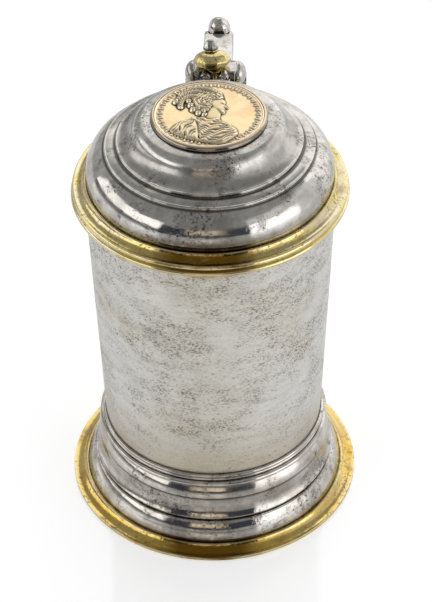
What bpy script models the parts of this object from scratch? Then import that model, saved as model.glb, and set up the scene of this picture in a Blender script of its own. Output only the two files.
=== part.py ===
"""A lidded silver tankard, parcel gilt.

A plain tapering drum stands on a moulded foot. An ear-shaped faceted handle carries the hinge of a
stepped, domed lid, which has a medal set in its top and a faceted ball as its thumbpiece.
The drum's axis is vertical, the handle is at +Y, and heights are measured from the table.
"""

import math

import bmesh
import bpy
from mathutils import Vector

MM = 0.001

# Fits
GAP = 0.3 * MM
BEZEL_PLAY = 0.9 * MM
PIN_PLAY = 0.3 * MM
LEAF_PLAY = 0.7 * MM

# Facets round the turned pieces
SEGMENTS = 48
SMALL_SEGMENTS = 18
BARREL_STEPS = 14
ROUND_STEPS = 5
OCTAGON = 8
SMOOTH_ANGLE = math.radians(32)

# Foot
FOOT_RADIUS = 64.8 * MM
FOOT_EDGE = 1.9 * MM
FOOT_SLOPE_WIDTH = 5.4 * MM
FOOT_SLOPE_RISE = 2.5 * MM
FOOT_SLOPE_HOLLOW = 0.4 * MM
FOOT_BEAD_WIDTH = 1.5 * MM
FOOT_BEAD_RISE = 0.5 * MM
FOOT_SEAT_WIDTH = 2.6 * MM
FOOT_RIM_WIDTH = 4.0 * MM
FOOT_RIM_CHAMFER = 0.4 * MM
SKIRT_HEIGHT = 27.3 * MM
SKIRT_WALL = 1.1 * MM
SKIRT_SETBACK = 0.9 * MM
SKIRT_ROLL_HEIGHT = 9.2 * MM
SKIRT_ROLL_DEPTH = 3.8 * MM
SKIRT_ROLL_BULGE = 0.8 * MM
SKIRT_SHOULDER_WIDTH = 2.4 * MM
SKIRT_SHOULDER_DROP = 0.9 * MM
SKIRT_SHOULDER_BULGE = 0.4 * MM
SKIRT_FILLET = 1.9 * MM
SKIRT_FILLET_BULGE = 0.25 * MM
SKIRT_CREASE = 0.6 * MM
SKIRT_BEAD_HEIGHT = 6.2 * MM
SKIRT_BEAD_BULGE = 0.7 * MM
SKIRT_BEAD_STEP = 1.5 * MM
SKIRT_HOLLOW = 1.0 * MM
SKIRT_OVERHANG = 1.6 * MM
LEDGE_WIDTH = 8.0 * MM
WIRE_RADIUS = 1.3 * MM
WIRE_SIDES = 6
THREAD_RADIUS = 0.8 * MM
THREAD_BACK = 0.3 * MM

# Drum
DRUM_HEIGHT = 125.7 * MM
DRUM_TOP_RADIUS = 53.4 * MM
DRUM_BOTTOM_RADIUS = 48.5 * MM
DRUM_WALL = 1.0 * MM
BOTTOM_THICKNESS = 1.2 * MM
LIP_ROUND = 0.25 * MM

# Lid edge and bezel
LID_OVERHANG = 5.6 * MM
LID_EDGE_BEAD = 2.15 * MM
LID_EDGE_BULGE = 0.7 * MM
LID_EDGE_GROOVE = 0.5 * MM
LID_EDGE_SETBACK = 0.6 * MM
LID_FLANGE_RISE = 2.4 * MM
LID_FLANGE_HOLLOW = 0.5 * MM
LID_FLANGE_WALL = 1.1 * MM
LID_SEAT_WIDTH = 3.3 * MM
LID_SEAT_MARGIN = 2.0 * MM
BEZEL_WASHER = 1.2 * MM
BEZEL_DEPTH = 4.0 * MM
BEZEL_WALL = 1.1 * MM
BEZEL_TAPER = 0.5 * MM

# Lid dome
DOME_INSET = 2.0 * MM
DOME_WALL = 1.0 * MM
TORUS_HEIGHT = 15.2 * MM
TORUS_BULGE = 3.3 * MM
TORUS_WIDTH = 7.2 * MM
BAND_WIDTH = 5.0 * MM
OUTER_STEP_RISE = 1.3 * MM
INNER_STEP_RISE = 1.8 * MM
STEP_ROUND = 0.7 * MM
STEP_GROOVE = 0.3 * MM
BAND_RISE = 1.1 * MM
DOME_RISE = 10.2 * MM
DOME_RING_SHARE = 0.23
DOME_RING_DROP = 0.6 * MM
DOME_SHOULDER_SHARE = 0.52
DOME_SHOULDER_DROP = 3.6 * MM
DOME_SHOULDER_BULGE = 0.75 * MM
DOME_FLARE_BULGE = 1.15 * MM

# Medal and collar
MEDAL_RADIUS = 22.0 * MM
MEDAL_THICKNESS = 1.5 * MM
MEDAL_RIM_WIDTH = 1.2 * MM
MEDAL_RIM_RISE = 0.3 * MM
MEDAL_SEAT_WIDTH = 1.7 * MM
COLLAR_WIDTH = 2.2 * MM
COLLAR_TOP_WIDTH = 1.0 * MM
COLLAR_HEIGHT = 2.0 * MM
COLLAR_FOOT = 0.4 * MM

# Hinge, whose axis runs along X behind the lid
HINGE_OVERHANG = 7.0 * MM
HINGE_ABOVE_SEAT = 14.1 * MM
BARREL_RADIUS = 5.5 * MM
LEAF_WIDTH = 18.7 * MM
LEAF_FACE_SETBACK = 7.0 * MM
LEAF_TOE = 2.7 * MM
LEAF_TOE_SLOPE = 3.2 * MM
LEAF_REACH_BELOW = 4.4 * MM
LEAF_UNDERCUT = math.radians(30)
KNUCKLE_WIDTH = 3.8 * MM
KNUCKLE_ROUND = 3.5 * MM
PIN_RADIUS = 1.5 * MM
PIN_ENTRY = 2.6 * MM
PIN_CHAMFER = 0.3 * MM
YOKE_FRONT = 1.5 * MM
YOKE_BACK = 8.7 * MM
YOKE_THICKNESS = 7.0 * MM
YOKE_BEVEL = 0.6 * MM

# Thumbpiece
THUMB_SETBACK = 4.5 * MM
THUMB_OFFSET = 0.8 * MM
THUMB_LEAN = math.radians(9)
BALL_RADIUS = 8.8 * MM
BALL_HEIGHT = 8.4 * MM
BALL_BELT = 0.9 * MM
BALL_FOOT_RADIUS = 3.2 * MM
BALL_SHOULDER = 0.77
NECK_RADIUS = 1.7 * MM
NECK_HEIGHT = 2.0 * MM
FINIAL_RADIUS = 3.4 * MM
FINIAL_TOP_RADIUS = 2.6 * MM
FINIAL_HEIGHT = 4.6 * MM
FINIAL_CHAMFER = 0.7 * MM
SCROLL_RADIUS = 2.1 * MM
SCROLL_EYE = 0.8 * MM
SCROLL_DEPTH = 1.7 * MM
SCROLL_RECESS = 0.5 * MM
SCROLL_SPACING = 8.0 * MM
SCROLL_BELOW_TOP = 2.5 * MM

# Handle
PLATE_LENGTH = 28.5 * MM
PLATE_WIDTH = 14.3 * MM
PLATE_THICKNESS = 1.5 * MM
PLATE_BELOW_HINGE = 4.1 * MM
PLATE_BEVEL = 0.3 * MM
ARM_INSET = 0.5 * MM
ARM_BEVEL = 1.4 * MM
ARM_BELOW_LIP = 0.5 * MM
ARM_ROOT_HEIGHT = 15.0 * MM
ARM_END_HEIGHT = 11.0 * MM
ARM_HOLLOW = 3.5 * MM
LIMB_WIDTH = 9.2 * MM
LIMB_DEPTH = 10.4 * MM
LIMB_END_SHARE = 0.78
LIMB_FACET = 0.42
LIMB_WALL = 1.4 * MM
LIMB_RINGS = 18
LIMB_SWELL = 12.0 * MM
LIMB_UPPER_DROP = 48.0 * MM
LIMB_LOWER_REACH = 50.0 * MM
LIMB_LOWER_RISE = 14.0 * MM
LIMB_FOOT_HEIGHT = 62.0 * MM
HEAD_BASE = 0.7 * MM
HEAD_HEIGHT = 4.0 * MM
HEAD_RINGS = 4
PAD_THICKNESS = 1.2 * MM
PAD_WIDTH = 15.0 * MM
PAD_HEIGHT = 19.0 * MM

# Levels and places that follow from the sizes above
FOOT_TOP = FOOT_EDGE + FOOT_SLOPE_RISE
SKIRT_FOOT = FOOT_TOP + GAP
SKIRT_TOP = SKIRT_FOOT + SKIRT_HEIGHT
DRUM_FOOT = SKIRT_TOP + GAP
DRUM_TOP = DRUM_FOOT + DRUM_HEIGHT
LID_SEAT = DRUM_TOP + GAP
LID_EDGE_TOP = LID_SEAT + 2 * LID_EDGE_BEAD + LID_EDGE_GROOVE
LID_FLANGE_TOP = LID_EDGE_TOP + LID_FLANGE_RISE
DOME_FOOT = LID_FLANGE_TOP + GAP
TORUS_TOP = DOME_FOOT + TORUS_HEIGHT
BAND_FOOT = TORUS_TOP + OUTER_STEP_RISE
BAND_TOP = BAND_FOOT + BAND_RISE
DOME_SPRING = BAND_TOP + INNER_STEP_RISE
DOME_TOP = DOME_SPRING + DOME_RISE
MEDAL_FOOT = DOME_TOP + GAP
COLLAR_RADIUS = MEDAL_RADIUS + GAP + COLLAR_WIDTH
LID_RADIUS = DRUM_TOP_RADIUS + LID_OVERHANG
DOME_FOOT_RADIUS = DRUM_TOP_RADIUS - DOME_INSET
OUTER_STEP_RADIUS = DOME_FOOT_RADIUS - TORUS_WIDTH
INNER_STEP_RADIUS = OUTER_STEP_RADIUS - BAND_WIDTH
HINGE_REACH = LID_RADIUS + HINGE_OVERHANG
HINGE_HEIGHT = LID_SEAT + HINGE_ABOVE_SEAT
LEAF_TOP = HINGE_HEIGHT + BARREL_RADIUS
LEAF_FACE = HINGE_REACH - LEAF_FACE_SETBACK
PLATE_TOP = HINGE_HEIGHT - PLATE_BELOW_HINGE
PLATE_FOOT = PLATE_TOP - PLATE_THICKNESS
YOKE_TOP = PLATE_TOP - GAP
YOKE_FOOT = YOKE_TOP - YOKE_THICKNESS
PLATE_START = HINGE_REACH + YOKE_BACK + GAP
PLATE_END = PLATE_START + PLATE_LENGTH
LIMB_TOP = PLATE_TOP + HEAD_BASE
LIMB_START = PLATE_END + GAP + LIMB_DEPTH / 2
BALL_FOOT = LEAF_TOP + GAP
SPIN_AXIS = Vector((0, 0, 1))


def drum_radius(height):
    """Outer radius of the drum at a height, a straight taper between its two ends."""
    share = (height - DRUM_FOOT) / DRUM_HEIGHT
    return DRUM_BOTTOM_RADIUS + share * (DRUM_TOP_RADIUS - DRUM_BOTTOM_RADIUS)


def arc(start, end, bulge, count):
    """Points after start, up to end, on a circular arc that stands off its chord by bulge.

    A positive bulge is on the left of the travel, which is outwards on the way down an outer side.
    """
    start = Vector(start)
    chord = Vector(end) - start
    half_angle = 2 * math.atan2(2 * bulge, chord.length)
    radius = chord.length / (2 * math.sin(half_angle))
    along = chord.normalized()
    left = Vector((-along.y, along.x))
    points = []
    for step in range(1, count + 1):
        angle = half_angle * (2 * step / count - 1)
        run = chord.length / 2 + radius * math.sin(angle)
        rise = radius * (math.cos(angle) - math.cos(half_angle))
        points.append(tuple(start + along * run + left * rise))
    return points


def metal(name, colour, roughness):
    """A plain metal with one colour."""
    material = bpy.data.materials.new(name)
    material.use_nodes = True
    shader = material.node_tree.nodes["Principled BSDF"]
    shader.inputs["Base Color"].default_value = (*colour, 1)
    shader.inputs["Roughness"].default_value = roughness
    shader.inputs["Metallic"].default_value = 1
    return material


def new_object(name, mesh_data, material, parent, place=(0, 0, 0)):
    """An object from a finished bmesh, shaded smooth except at its sharp edges."""
    bmesh.ops.remove_doubles(mesh_data, verts=mesh_data.verts, dist=1e-7)
    bmesh.ops.recalc_face_normals(mesh_data, faces=mesh_data.faces)
    mesh = bpy.data.meshes.new(name)
    mesh_data.to_mesh(mesh)
    mesh_data.free()
    mesh.shade_smooth()
    mesh.set_sharp_from_angle(angle=SMOOTH_ANGLE)
    mesh.materials.append(material)
    item = bpy.data.objects.new(name, mesh)
    bpy.context.scene.collection.objects.link(item)
    item.parent = parent
    item.location = place
    return item


def turned_mesh(outline, closed=True, segments=SEGMENTS):
    """A ring, or with closed False a disc that starts and ends on the axis, turned round Z."""
    mesh_data = bmesh.new()
    points = [mesh_data.verts.new((radius, 0, height)) for radius, height in outline]
    pairs = list(zip(points, points[1:]))
    if closed:
        pairs.append((points[-1], points[0]))
    edges = [mesh_data.edges.new(pair) for pair in pairs]
    bmesh.ops.spin(
        mesh_data,
        geom=points + edges,
        cent=(0, 0, 0),
        axis=SPIN_AXIS,
        angle=math.tau,
        steps=segments,
        use_merge=True,
    )
    return mesh_data


def slab_mesh(outline, width):
    """An outline in the handle's plane, as (y, z), with its thickness along X."""
    mesh_data = bmesh.new()
    points = [mesh_data.verts.new((-width / 2, y, z)) for y, z in outline]
    face = mesh_data.faces.new(points)
    grown = bmesh.ops.extrude_face_region(mesh_data, geom=[face])["geom"]
    moved = [item for item in grown if isinstance(item, bmesh.types.BMVert)]
    bmesh.ops.translate(mesh_data, verts=moved, vec=(width, 0, 0))
    return mesh_data


def skin(mesh_data, rings):
    """Quads from each ring of points to the next, and the vertices of the first and last ring."""
    rows = [[mesh_data.verts.new(point) for point in ring] for ring in rings]
    for upper, lower in zip(rows, rows[1:]):
        count = len(upper)
        for index in range(count):
            after = (index + 1) % count
            mesh_data.faces.new((upper[index], upper[after], lower[after], lower[index]))
    return rows[0], rows[-1]


def loft_mesh(rings):
    """A solid through rings of points, capped at both ends."""
    mesh_data = bmesh.new()
    first, last = skin(mesh_data, rings)
    mesh_data.faces.new(first)
    mesh_data.faces.new(last)
    return mesh_data


def octagon(radius, height):
    """A level octagon with a flat towards the front."""
    turns = [math.tau * (index + 0.5) / OCTAGON for index in range(OCTAGON)]
    return [(radius * math.cos(turn), radius * math.sin(turn), height) for turn in turns]


def bevel(item, width):
    """Two-step rounding of an object's sharp edges."""
    modifier = item.modifiers.new("soft_edges", "BEVEL")
    modifier.width = width
    modifier.segments = 2
    modifier.limit_method = "ANGLE"


def trim(item, cutter, operation="DIFFERENCE"):
    """Cuts an object with a helper, which stays in the file as a wire outline."""
    cutter.hide_render = True
    cutter.display_type = "WIRE"
    modifier = item.modifiers.new(cutter.name, "BOOLEAN")
    modifier.operation = operation
    modifier.object = cutter


def bar_helper(name, radius, length, parent, material):
    """A round bar along X on the hinge's axis, to cut bores and seats."""
    outline = [(0, length / 2), (radius, length / 2), (radius, -length / 2), (0, -length / 2)]
    mesh_data = turned_mesh(outline, closed=False, segments=SMALL_SEGMENTS)
    item = new_object(name, mesh_data, material, parent, (0, HINGE_REACH, HINGE_HEIGHT))
    item.rotation_euler = (0, math.pi / 2, 0)
    return item


def drum_helper(name, margin, parent, material):
    """A solid copy of the drum's outside, larger by a margin, to shape what meets the drum."""
    outline = [
        (0, DRUM_TOP),
        (DRUM_TOP_RADIUS + margin, DRUM_TOP),
        (DRUM_BOTTOM_RADIUS + margin, DRUM_FOOT),
        (0, DRUM_FOOT),
    ]
    return new_object(name, turned_mesh(outline, closed=False), material, parent)


def foot_pieces(parent, silver, gilt):
    """The gilt flange, the moulded silver skirt, and at the drum a round wire and a two-threaded one."""
    slope_top = FOOT_RADIUS - FOOT_SLOPE_WIDTH
    bead = slope_top - FOOT_BEAD_WIDTH
    seat = bead - FOOT_SEAT_WIDTH
    rim = FOOT_RADIUS - FOOT_RIM_WIDTH
    flange = [(seat, FOOT_TOP), (bead, FOOT_TOP)]
    flange += arc((bead, FOOT_TOP), (slope_top, FOOT_TOP), FOOT_BEAD_RISE, 3)
    flange += arc((slope_top, FOOT_TOP), (FOOT_RADIUS, FOOT_EDGE), -FOOT_SLOPE_HOLLOW, 3)
    flange += [
        (FOOT_RADIUS, FOOT_RIM_CHAMFER),
        (FOOT_RADIUS - FOOT_RIM_CHAMFER, 0),
        (rim, 0),
        (rim, FOOT_EDGE),
        (seat, FOOT_TOP - FOOT_EDGE),
    ]
    new_object("foot_flange", turned_mesh(flange), gilt, parent)

    top = DRUM_BOTTOM_RADIUS + SKIRT_OVERHANG
    foot = (bead - SKIRT_SETBACK, SKIRT_FOOT)
    crease = (foot[0] - SKIRT_ROLL_DEPTH, SKIRT_FOOT + SKIRT_ROLL_HEIGHT)
    shoulder = (crease[0] + SKIRT_SHOULDER_WIDTH, crease[1] - SKIRT_SHOULDER_DROP)
    fillet = (crease[0] + SKIRT_CREASE, crease[1] + SKIRT_FILLET)
    bead_foot = (top + SKIRT_BEAD_STEP, SKIRT_TOP - SKIRT_BEAD_HEIGHT)
    outer = [(DRUM_BOTTOM_RADIUS - LEDGE_WIDTH, SKIRT_TOP), (top, SKIRT_TOP)]
    outer += arc((top, SKIRT_TOP), bead_foot, SKIRT_BEAD_BULGE, 4)
    outer += arc(bead_foot, fillet, -SKIRT_HOLLOW, 4)
    outer += arc(fillet, crease, SKIRT_FILLET_BULGE, 2)
    outer += arc(crease, shoulder, SKIRT_SHOULDER_BULGE, 2)
    outer += arc(shoulder, foot, SKIRT_ROLL_BULGE, 4)
    inner = [
        (foot[0] - SKIRT_WALL, SKIRT_FOOT),
        (foot[0] - SKIRT_WALL, SKIRT_FOOT + SKIRT_ROLL_HEIGHT / 2),
        (crease[0] - SKIRT_WALL, crease[1]),
        (top - SKIRT_WALL, bead_foot[1]),
        (top - SKIRT_WALL, SKIRT_TOP - SKIRT_WALL),
        (DRUM_BOTTOM_RADIUS - LEDGE_WIDTH, SKIRT_TOP - SKIRT_WALL),
    ]
    new_object("foot_skirt", turned_mesh(outer + inner), silver, parent)

    height = SKIRT_TOP + GAP + WIRE_RADIUS
    centre = drum_radius(height + WIRE_RADIUS) + GAP + WIRE_RADIUS
    turns = [math.tau * index / WIRE_SIDES for index in range(WIRE_SIDES)]
    round_wire = [
        (centre + WIRE_RADIUS * math.cos(turn), height - WIRE_RADIUS * math.sin(turn)) for turn in turns
    ]
    new_object("foot_wire_lower", turned_mesh(round_wire), silver, parent)

    low = height + WIRE_RADIUS + GAP
    middle = low + 2 * THREAD_RADIUS
    high = middle + 2 * THREAD_RADIUS
    back = drum_radius(high) + GAP
    root = back + THREAD_BACK
    threads = [(back, high), (root, high)]
    threads += arc((root, high), (root, middle), THREAD_RADIUS, 3)
    threads += arc((root, middle), (root, low), THREAD_RADIUS, 3)
    threads += [(back, low)]
    new_object("foot_wire_upper", turned_mesh(threads), silver, parent)


def drum_pieces(parent, silver):
    """The drum's wall, open at both ends, and the flat bottom let into it."""
    top_inner = DRUM_TOP_RADIUS - DRUM_WALL
    bottom_inner = DRUM_BOTTOM_RADIUS - DRUM_WALL
    wall = [
        (DRUM_TOP_RADIUS - LIP_ROUND, DRUM_TOP),
        (DRUM_TOP_RADIUS, DRUM_TOP - LIP_ROUND),
        (DRUM_BOTTOM_RADIUS, DRUM_FOOT),
        (bottom_inner, DRUM_FOOT),
        (top_inner, DRUM_TOP - LIP_ROUND),
        (top_inner + LIP_ROUND, DRUM_TOP),
    ]
    new_object("drum", turned_mesh(wall), silver, parent)
    disc_radius = bottom_inner - GAP
    disc = [
        (0, DRUM_FOOT + BOTTOM_THICKNESS),
        (disc_radius, DRUM_FOOT + BOTTOM_THICKNESS),
        (disc_radius, DRUM_FOOT),
        (0, DRUM_FOOT),
    ]
    new_object("drum_bottom", turned_mesh(disc, closed=False), silver, parent)


def lid_flange_outline():
    """The gilt sheet from its seat under the dome, down a hollow slope, to a double-beaded edge."""
    slope_top = DOME_FOOT_RADIUS + LID_SEAT_MARGIN
    upper = LID_RADIUS - LID_EDGE_BULGE - LID_EDGE_SETBACK
    lower = LID_RADIUS - LID_EDGE_BULGE
    groove = LID_SEAT + LID_EDGE_BEAD
    inner_edge = lower - LID_FLANGE_WALL
    seat = slope_top - LID_SEAT_WIDTH
    outline = [(seat, LID_FLANGE_TOP), (slope_top, LID_FLANGE_TOP)]
    outline += arc((slope_top, LID_FLANGE_TOP), (upper, LID_EDGE_TOP), -LID_FLANGE_HOLLOW, 3)
    outline += arc((upper, LID_EDGE_TOP), (upper, groove + LID_EDGE_GROOVE), LID_EDGE_BULGE, 3)
    outline += [(lower, groove)]
    outline += arc((lower, groove), (lower, LID_SEAT), LID_EDGE_BULGE, 3)
    outline += [
        (inner_edge, LID_SEAT),
        (inner_edge, LID_EDGE_TOP - 2 * LID_FLANGE_WALL),
        (slope_top, LID_FLANGE_TOP - LID_FLANGE_WALL),
        (seat, LID_FLANGE_TOP - LID_FLANGE_WALL),
    ]
    return outline


def dome_outline():
    """The silver shell: ledge for the medal, ogee dome, two stepped grooves and the large torus."""
    hole = MEDAL_RADIUS - MEDAL_SEAT_WIDTH
    band_edge = (OUTER_STEP_RADIUS - STEP_ROUND, BAND_FOOT)
    dome_edge = (INNER_STEP_RADIUS - STEP_ROUND, DOME_SPRING)
    run = dome_edge[0] - COLLAR_RADIUS
    ring_edge = (COLLAR_RADIUS + DOME_RING_SHARE * run, DOME_TOP - DOME_RING_DROP)
    shoulder = (COLLAR_RADIUS + DOME_SHOULDER_SHARE * run, ring_edge[1] - DOME_SHOULDER_DROP)
    outline = [(hole, DOME_TOP), (COLLAR_RADIUS, DOME_TOP), ring_edge]
    outline += arc(ring_edge, shoulder, DOME_SHOULDER_BULGE, 3)
    outline += arc(shoulder, dome_edge, -DOME_FLARE_BULGE, 3)
    outline += arc(dome_edge, (INNER_STEP_RADIUS, DOME_SPRING - STEP_ROUND), STEP_GROOVE, 2)
    outline += [(INNER_STEP_RADIUS, BAND_TOP)]
    outline += [band_edge]
    outline += arc(band_edge, (OUTER_STEP_RADIUS, BAND_FOOT - STEP_ROUND), STEP_GROOVE, 2)
    outline += [(OUTER_STEP_RADIUS, TORUS_TOP)]
    outline += arc((OUTER_STEP_RADIUS, TORUS_TOP), (DOME_FOOT_RADIUS, DOME_FOOT), TORUS_BULGE, 7)
    foot_inner = (DOME_FOOT_RADIUS - DOME_WALL, DOME_FOOT)
    torus_inner = (OUTER_STEP_RADIUS - DOME_WALL, TORUS_TOP - DOME_WALL)
    band_inner = (INNER_STEP_RADIUS - DOME_WALL, BAND_TOP - DOME_WALL)
    dome_inner = (dome_edge[0] - DOME_WALL, DOME_SPRING - DOME_WALL)
    shoulder_inner = (shoulder[0] - DOME_WALL, shoulder[1] - DOME_WALL / 3)
    ring_inner = (ring_edge[0], ring_edge[1] - DOME_WALL)
    outline += [foot_inner]
    outline += arc(foot_inner, torus_inner, -TORUS_BULGE, 3)
    outline += [band_inner, dome_inner]
    outline += arc(dome_inner, shoulder_inner, DOME_FLARE_BULGE, 2)
    outline += arc(shoulder_inner, ring_inner, -DOME_SHOULDER_BULGE, 2)
    outline += [(hole, DOME_TOP - DOME_WALL)]
    return outline


def lid_pieces(parent, place, silver, gilt):
    """The lid's shell, its gilt flange, the bezel that drops into the drum, the collar and medal."""
    new_object("lid_dome", turned_mesh(dome_outline()), silver, parent, place)
    new_object("lid_flange", turned_mesh(lid_flange_outline()), gilt, parent, place)

    washer_edge = LID_RADIUS - LID_EDGE_BULGE - LID_FLANGE_WALL - GAP
    bezel_top = DRUM_TOP_RADIUS - DRUM_WALL - BEZEL_PLAY
    bezel_foot = bezel_top - BEZEL_TAPER
    bezel = [
        (bezel_top - BEZEL_WALL, LID_SEAT + BEZEL_WASHER),
        (washer_edge, LID_SEAT + BEZEL_WASHER),
        (washer_edge, LID_SEAT),
        (bezel_top, LID_SEAT),
        (bezel_foot, LID_SEAT - BEZEL_DEPTH),
        (bezel_foot - BEZEL_WALL, LID_SEAT - BEZEL_DEPTH),
    ]
    new_object("lid_bezel", turned_mesh(bezel), silver, parent, place)

    collar_inner = MEDAL_RADIUS + GAP
    collar_top = MEDAL_FOOT + COLLAR_HEIGHT
    collar = [
        (collar_inner, collar_top),
        (collar_inner + COLLAR_TOP_WIDTH, collar_top),
        (COLLAR_RADIUS, MEDAL_FOOT + COLLAR_FOOT),
        (COLLAR_RADIUS, MEDAL_FOOT),
        (collar_inner, MEDAL_FOOT),
    ]
    new_object("medal_collar", turned_mesh(collar), silver, parent, place)

    field = MEDAL_FOOT + MEDAL_THICKNESS
    rim_inner = MEDAL_RADIUS - MEDAL_RIM_WIDTH
    medal = [
        (0, field),
        (rim_inner - MEDAL_RIM_RISE, field),
        (rim_inner, field + MEDAL_RIM_RISE),
        (MEDAL_RADIUS - MEDAL_RIM_RISE, field + MEDAL_RIM_RISE),
        (MEDAL_RADIUS, field),
        (MEDAL_RADIUS, MEDAL_FOOT),
        (0, MEDAL_FOOT),
    ]
    new_object("medal", turned_mesh(medal, closed=False), gilt, parent, place)


def hinge_leaf(parent, place, silver):
    """The lid's half of the hinge: a toe on the flange, an upright face and the middle knuckle."""
    toe = max(radius for radius, height in dome_outline()) + LEAF_PLAY
    under = -math.pi / 2 - LEAF_UNDERCUT
    sweep = math.pi + LEAF_UNDERCUT
    turns = [under + sweep * step / BARREL_STEPS for step in range(BARREL_STEPS + 1)]
    outline = [(toe, DOME_FOOT), (HINGE_REACH - LEAF_REACH_BELOW, DOME_FOOT)]
    outline += [
        (HINGE_REACH + BARREL_RADIUS * math.cos(turn), HINGE_HEIGHT + BARREL_RADIUS * math.sin(turn))
        for turn in turns
    ]
    outline += [
        (LEAF_FACE, LEAF_TOP),
        (LEAF_FACE, DOME_FOOT + LEAF_TOE + LEAF_TOE_SLOPE),
        (toe, DOME_FOOT + LEAF_TOE),
    ]
    return new_object("hinge_leaf", slab_mesh(outline, LEAF_WIDTH), silver, parent, place)


def hinge_pieces(parent, silver, bore):
    """The handle's half of the hinge: a yoke, two domed knuckles with blind bores, and the pin."""
    front = HINGE_REACH - YOKE_FRONT
    back = HINGE_REACH + YOKE_BACK
    width = LEAF_WIDTH + 2 * (GAP + KNUCKLE_WIDTH)
    block = [(front, YOKE_FOOT), (back, YOKE_FOOT), (back, YOKE_TOP), (front, YOKE_TOP)]
    yoke = new_object("hinge_yoke", slab_mesh(block, width), silver, parent)
    bevel(yoke, YOKE_BEVEL)
    trim(yoke, bar_helper("barrel_seat", BARREL_RADIUS + GAP, 2 * width, parent, silver))

    shoulder = KNUCKLE_WIDTH - KNUCKLE_ROUND
    crown = BARREL_RADIUS - KNUCKLE_ROUND
    knuckle = [(0, KNUCKLE_WIDTH), (crown, KNUCKLE_WIDTH)]
    for step in range(1, ROUND_STEPS + 1):
        turn = math.pi / 2 * (1 - step / ROUND_STEPS)
        radius = crown + KNUCKLE_ROUND * math.cos(turn)
        knuckle.append((radius, shoulder + KNUCKLE_ROUND * math.sin(turn)))
    knuckle += [
        (BARREL_RADIUS, 0),
        (bore, 0),
        (bore, PIN_ENTRY + PIN_PLAY),
        (0, PIN_ENTRY + PIN_PLAY),
    ]
    for side, sign in (("left", -1), ("right", 1)):
        mesh_data = turned_mesh(knuckle, closed=False, segments=SMALL_SEGMENTS)
        place = (sign * (LEAF_WIDTH / 2 + GAP), HINGE_REACH, HINGE_HEIGHT)
        item = new_object(f"hinge_knuckle_{side}", mesh_data, silver, parent, place)
        item.rotation_euler = (0, sign * math.pi / 2, 0)

    reach = LEAF_WIDTH / 2 + GAP + PIN_ENTRY
    pin = [
        (0, reach),
        (PIN_RADIUS - PIN_CHAMFER, reach),
        (PIN_RADIUS, reach - PIN_CHAMFER),
        (PIN_RADIUS, PIN_CHAMFER - reach),
        (PIN_RADIUS - PIN_CHAMFER, -reach),
        (0, -reach),
    ]
    mesh_data = turned_mesh(pin, closed=False, segments=SMALL_SEGMENTS)
    item = new_object("hinge_pin", mesh_data, silver, parent, (0, HINGE_REACH, HINGE_HEIGHT))
    item.rotation_euler = (0, math.pi / 2, 0)


def thumb_pieces(parent, silver, gilt):
    """The faceted ball and its finial, leaning a little, and two scrolls on the leaf's face."""
    seat = Vector((-THUMB_OFFSET, -THUMB_SETBACK, BALL_FOOT - HINGE_HEIGHT))
    belt_low = (BALL_HEIGHT - BALL_BELT) / 2
    belt_high = belt_low + BALL_BELT
    shoulder = BALL_SHOULDER * BALL_RADIUS
    levels = [
        (BALL_FOOT_RADIUS, BALL_FOOT_RADIUS * math.sin(THUMB_LEAN)),
        (shoulder, belt_low * (1 - BALL_SHOULDER) * 2),
        (BALL_RADIUS, belt_low),
        (BALL_RADIUS, belt_high),
        (shoulder, BALL_HEIGHT - belt_low * (1 - BALL_SHOULDER) * 2),
        (BALL_FOOT_RADIUS, BALL_HEIGHT),
        (NECK_RADIUS, BALL_HEIGHT),
        (NECK_RADIUS, BALL_HEIGHT + NECK_HEIGHT),
    ]
    finial_foot = BALL_HEIGHT + NECK_HEIGHT + GAP
    finial_levels = [
        (FINIAL_RADIUS - FINIAL_CHAMFER, finial_foot),
        (FINIAL_RADIUS, finial_foot + FINIAL_CHAMFER),
        (FINIAL_TOP_RADIUS, finial_foot + FINIAL_HEIGHT - FINIAL_CHAMFER),
        (FINIAL_TOP_RADIUS - FINIAL_CHAMFER, finial_foot + FINIAL_HEIGHT),
    ]
    for name, steps, material in (("thumb_ball", levels, gilt), ("thumb_finial", finial_levels, silver)):
        mesh_data = loft_mesh([octagon(radius, height) for radius, height in steps])
        item = new_object(name, mesh_data, material, parent, seat)
        item.rotation_euler = (0, -THUMB_LEAN, 0)

    scroll = [
        (0, SCROLL_DEPTH),
        (SCROLL_EYE, SCROLL_DEPTH),
        (SCROLL_EYE, SCROLL_DEPTH - SCROLL_RECESS),
        (2 * SCROLL_EYE, SCROLL_DEPTH - SCROLL_RECESS),
        (2 * SCROLL_EYE, SCROLL_DEPTH),
        (SCROLL_RADIUS, SCROLL_DEPTH),
        (SCROLL_RADIUS, 0),
        (0, 0),
    ]
    level = LEAF_TOP - SCROLL_BELOW_TOP - HINGE_HEIGHT
    for side, sign in (("left", -1), ("right", 1)):
        place = (sign * SCROLL_SPACING / 2, -LEAF_FACE_SETBACK - GAP, level)
        mesh_data = turned_mesh(scroll, closed=False, segments=SMALL_SEGMENTS)
        item = new_object(f"thumb_scroll_{side}", mesh_data, silver, parent, place)
        item.rotation_euler = (math.pi / 2, 0, 0)


def limb_point(share):
    """A point (y, z) on the ear-shaped line of the handle and its direction, from top to bottom."""
    foot = drum_radius(LIMB_FOOT_HEIGHT) - DRUM_WALL
    start = Vector((LIMB_START, LIMB_TOP))
    upper = start + Vector((LIMB_SWELL, -LIMB_UPPER_DROP))
    end = Vector((foot, LIMB_FOOT_HEIGHT))
    lower = end + Vector((LIMB_LOWER_REACH, LIMB_LOWER_RISE))
    rest = 1 - share
    point = (
        start * rest**3 + upper * 3 * rest**2 * share + lower * 3 * rest * share**2 + end * share**3
    )
    direction = (
        (upper - start) * rest**2 + (lower - upper) * 2 * rest * share + (end - lower) * share**2
    )
    return point, direction.normalized()


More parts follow.
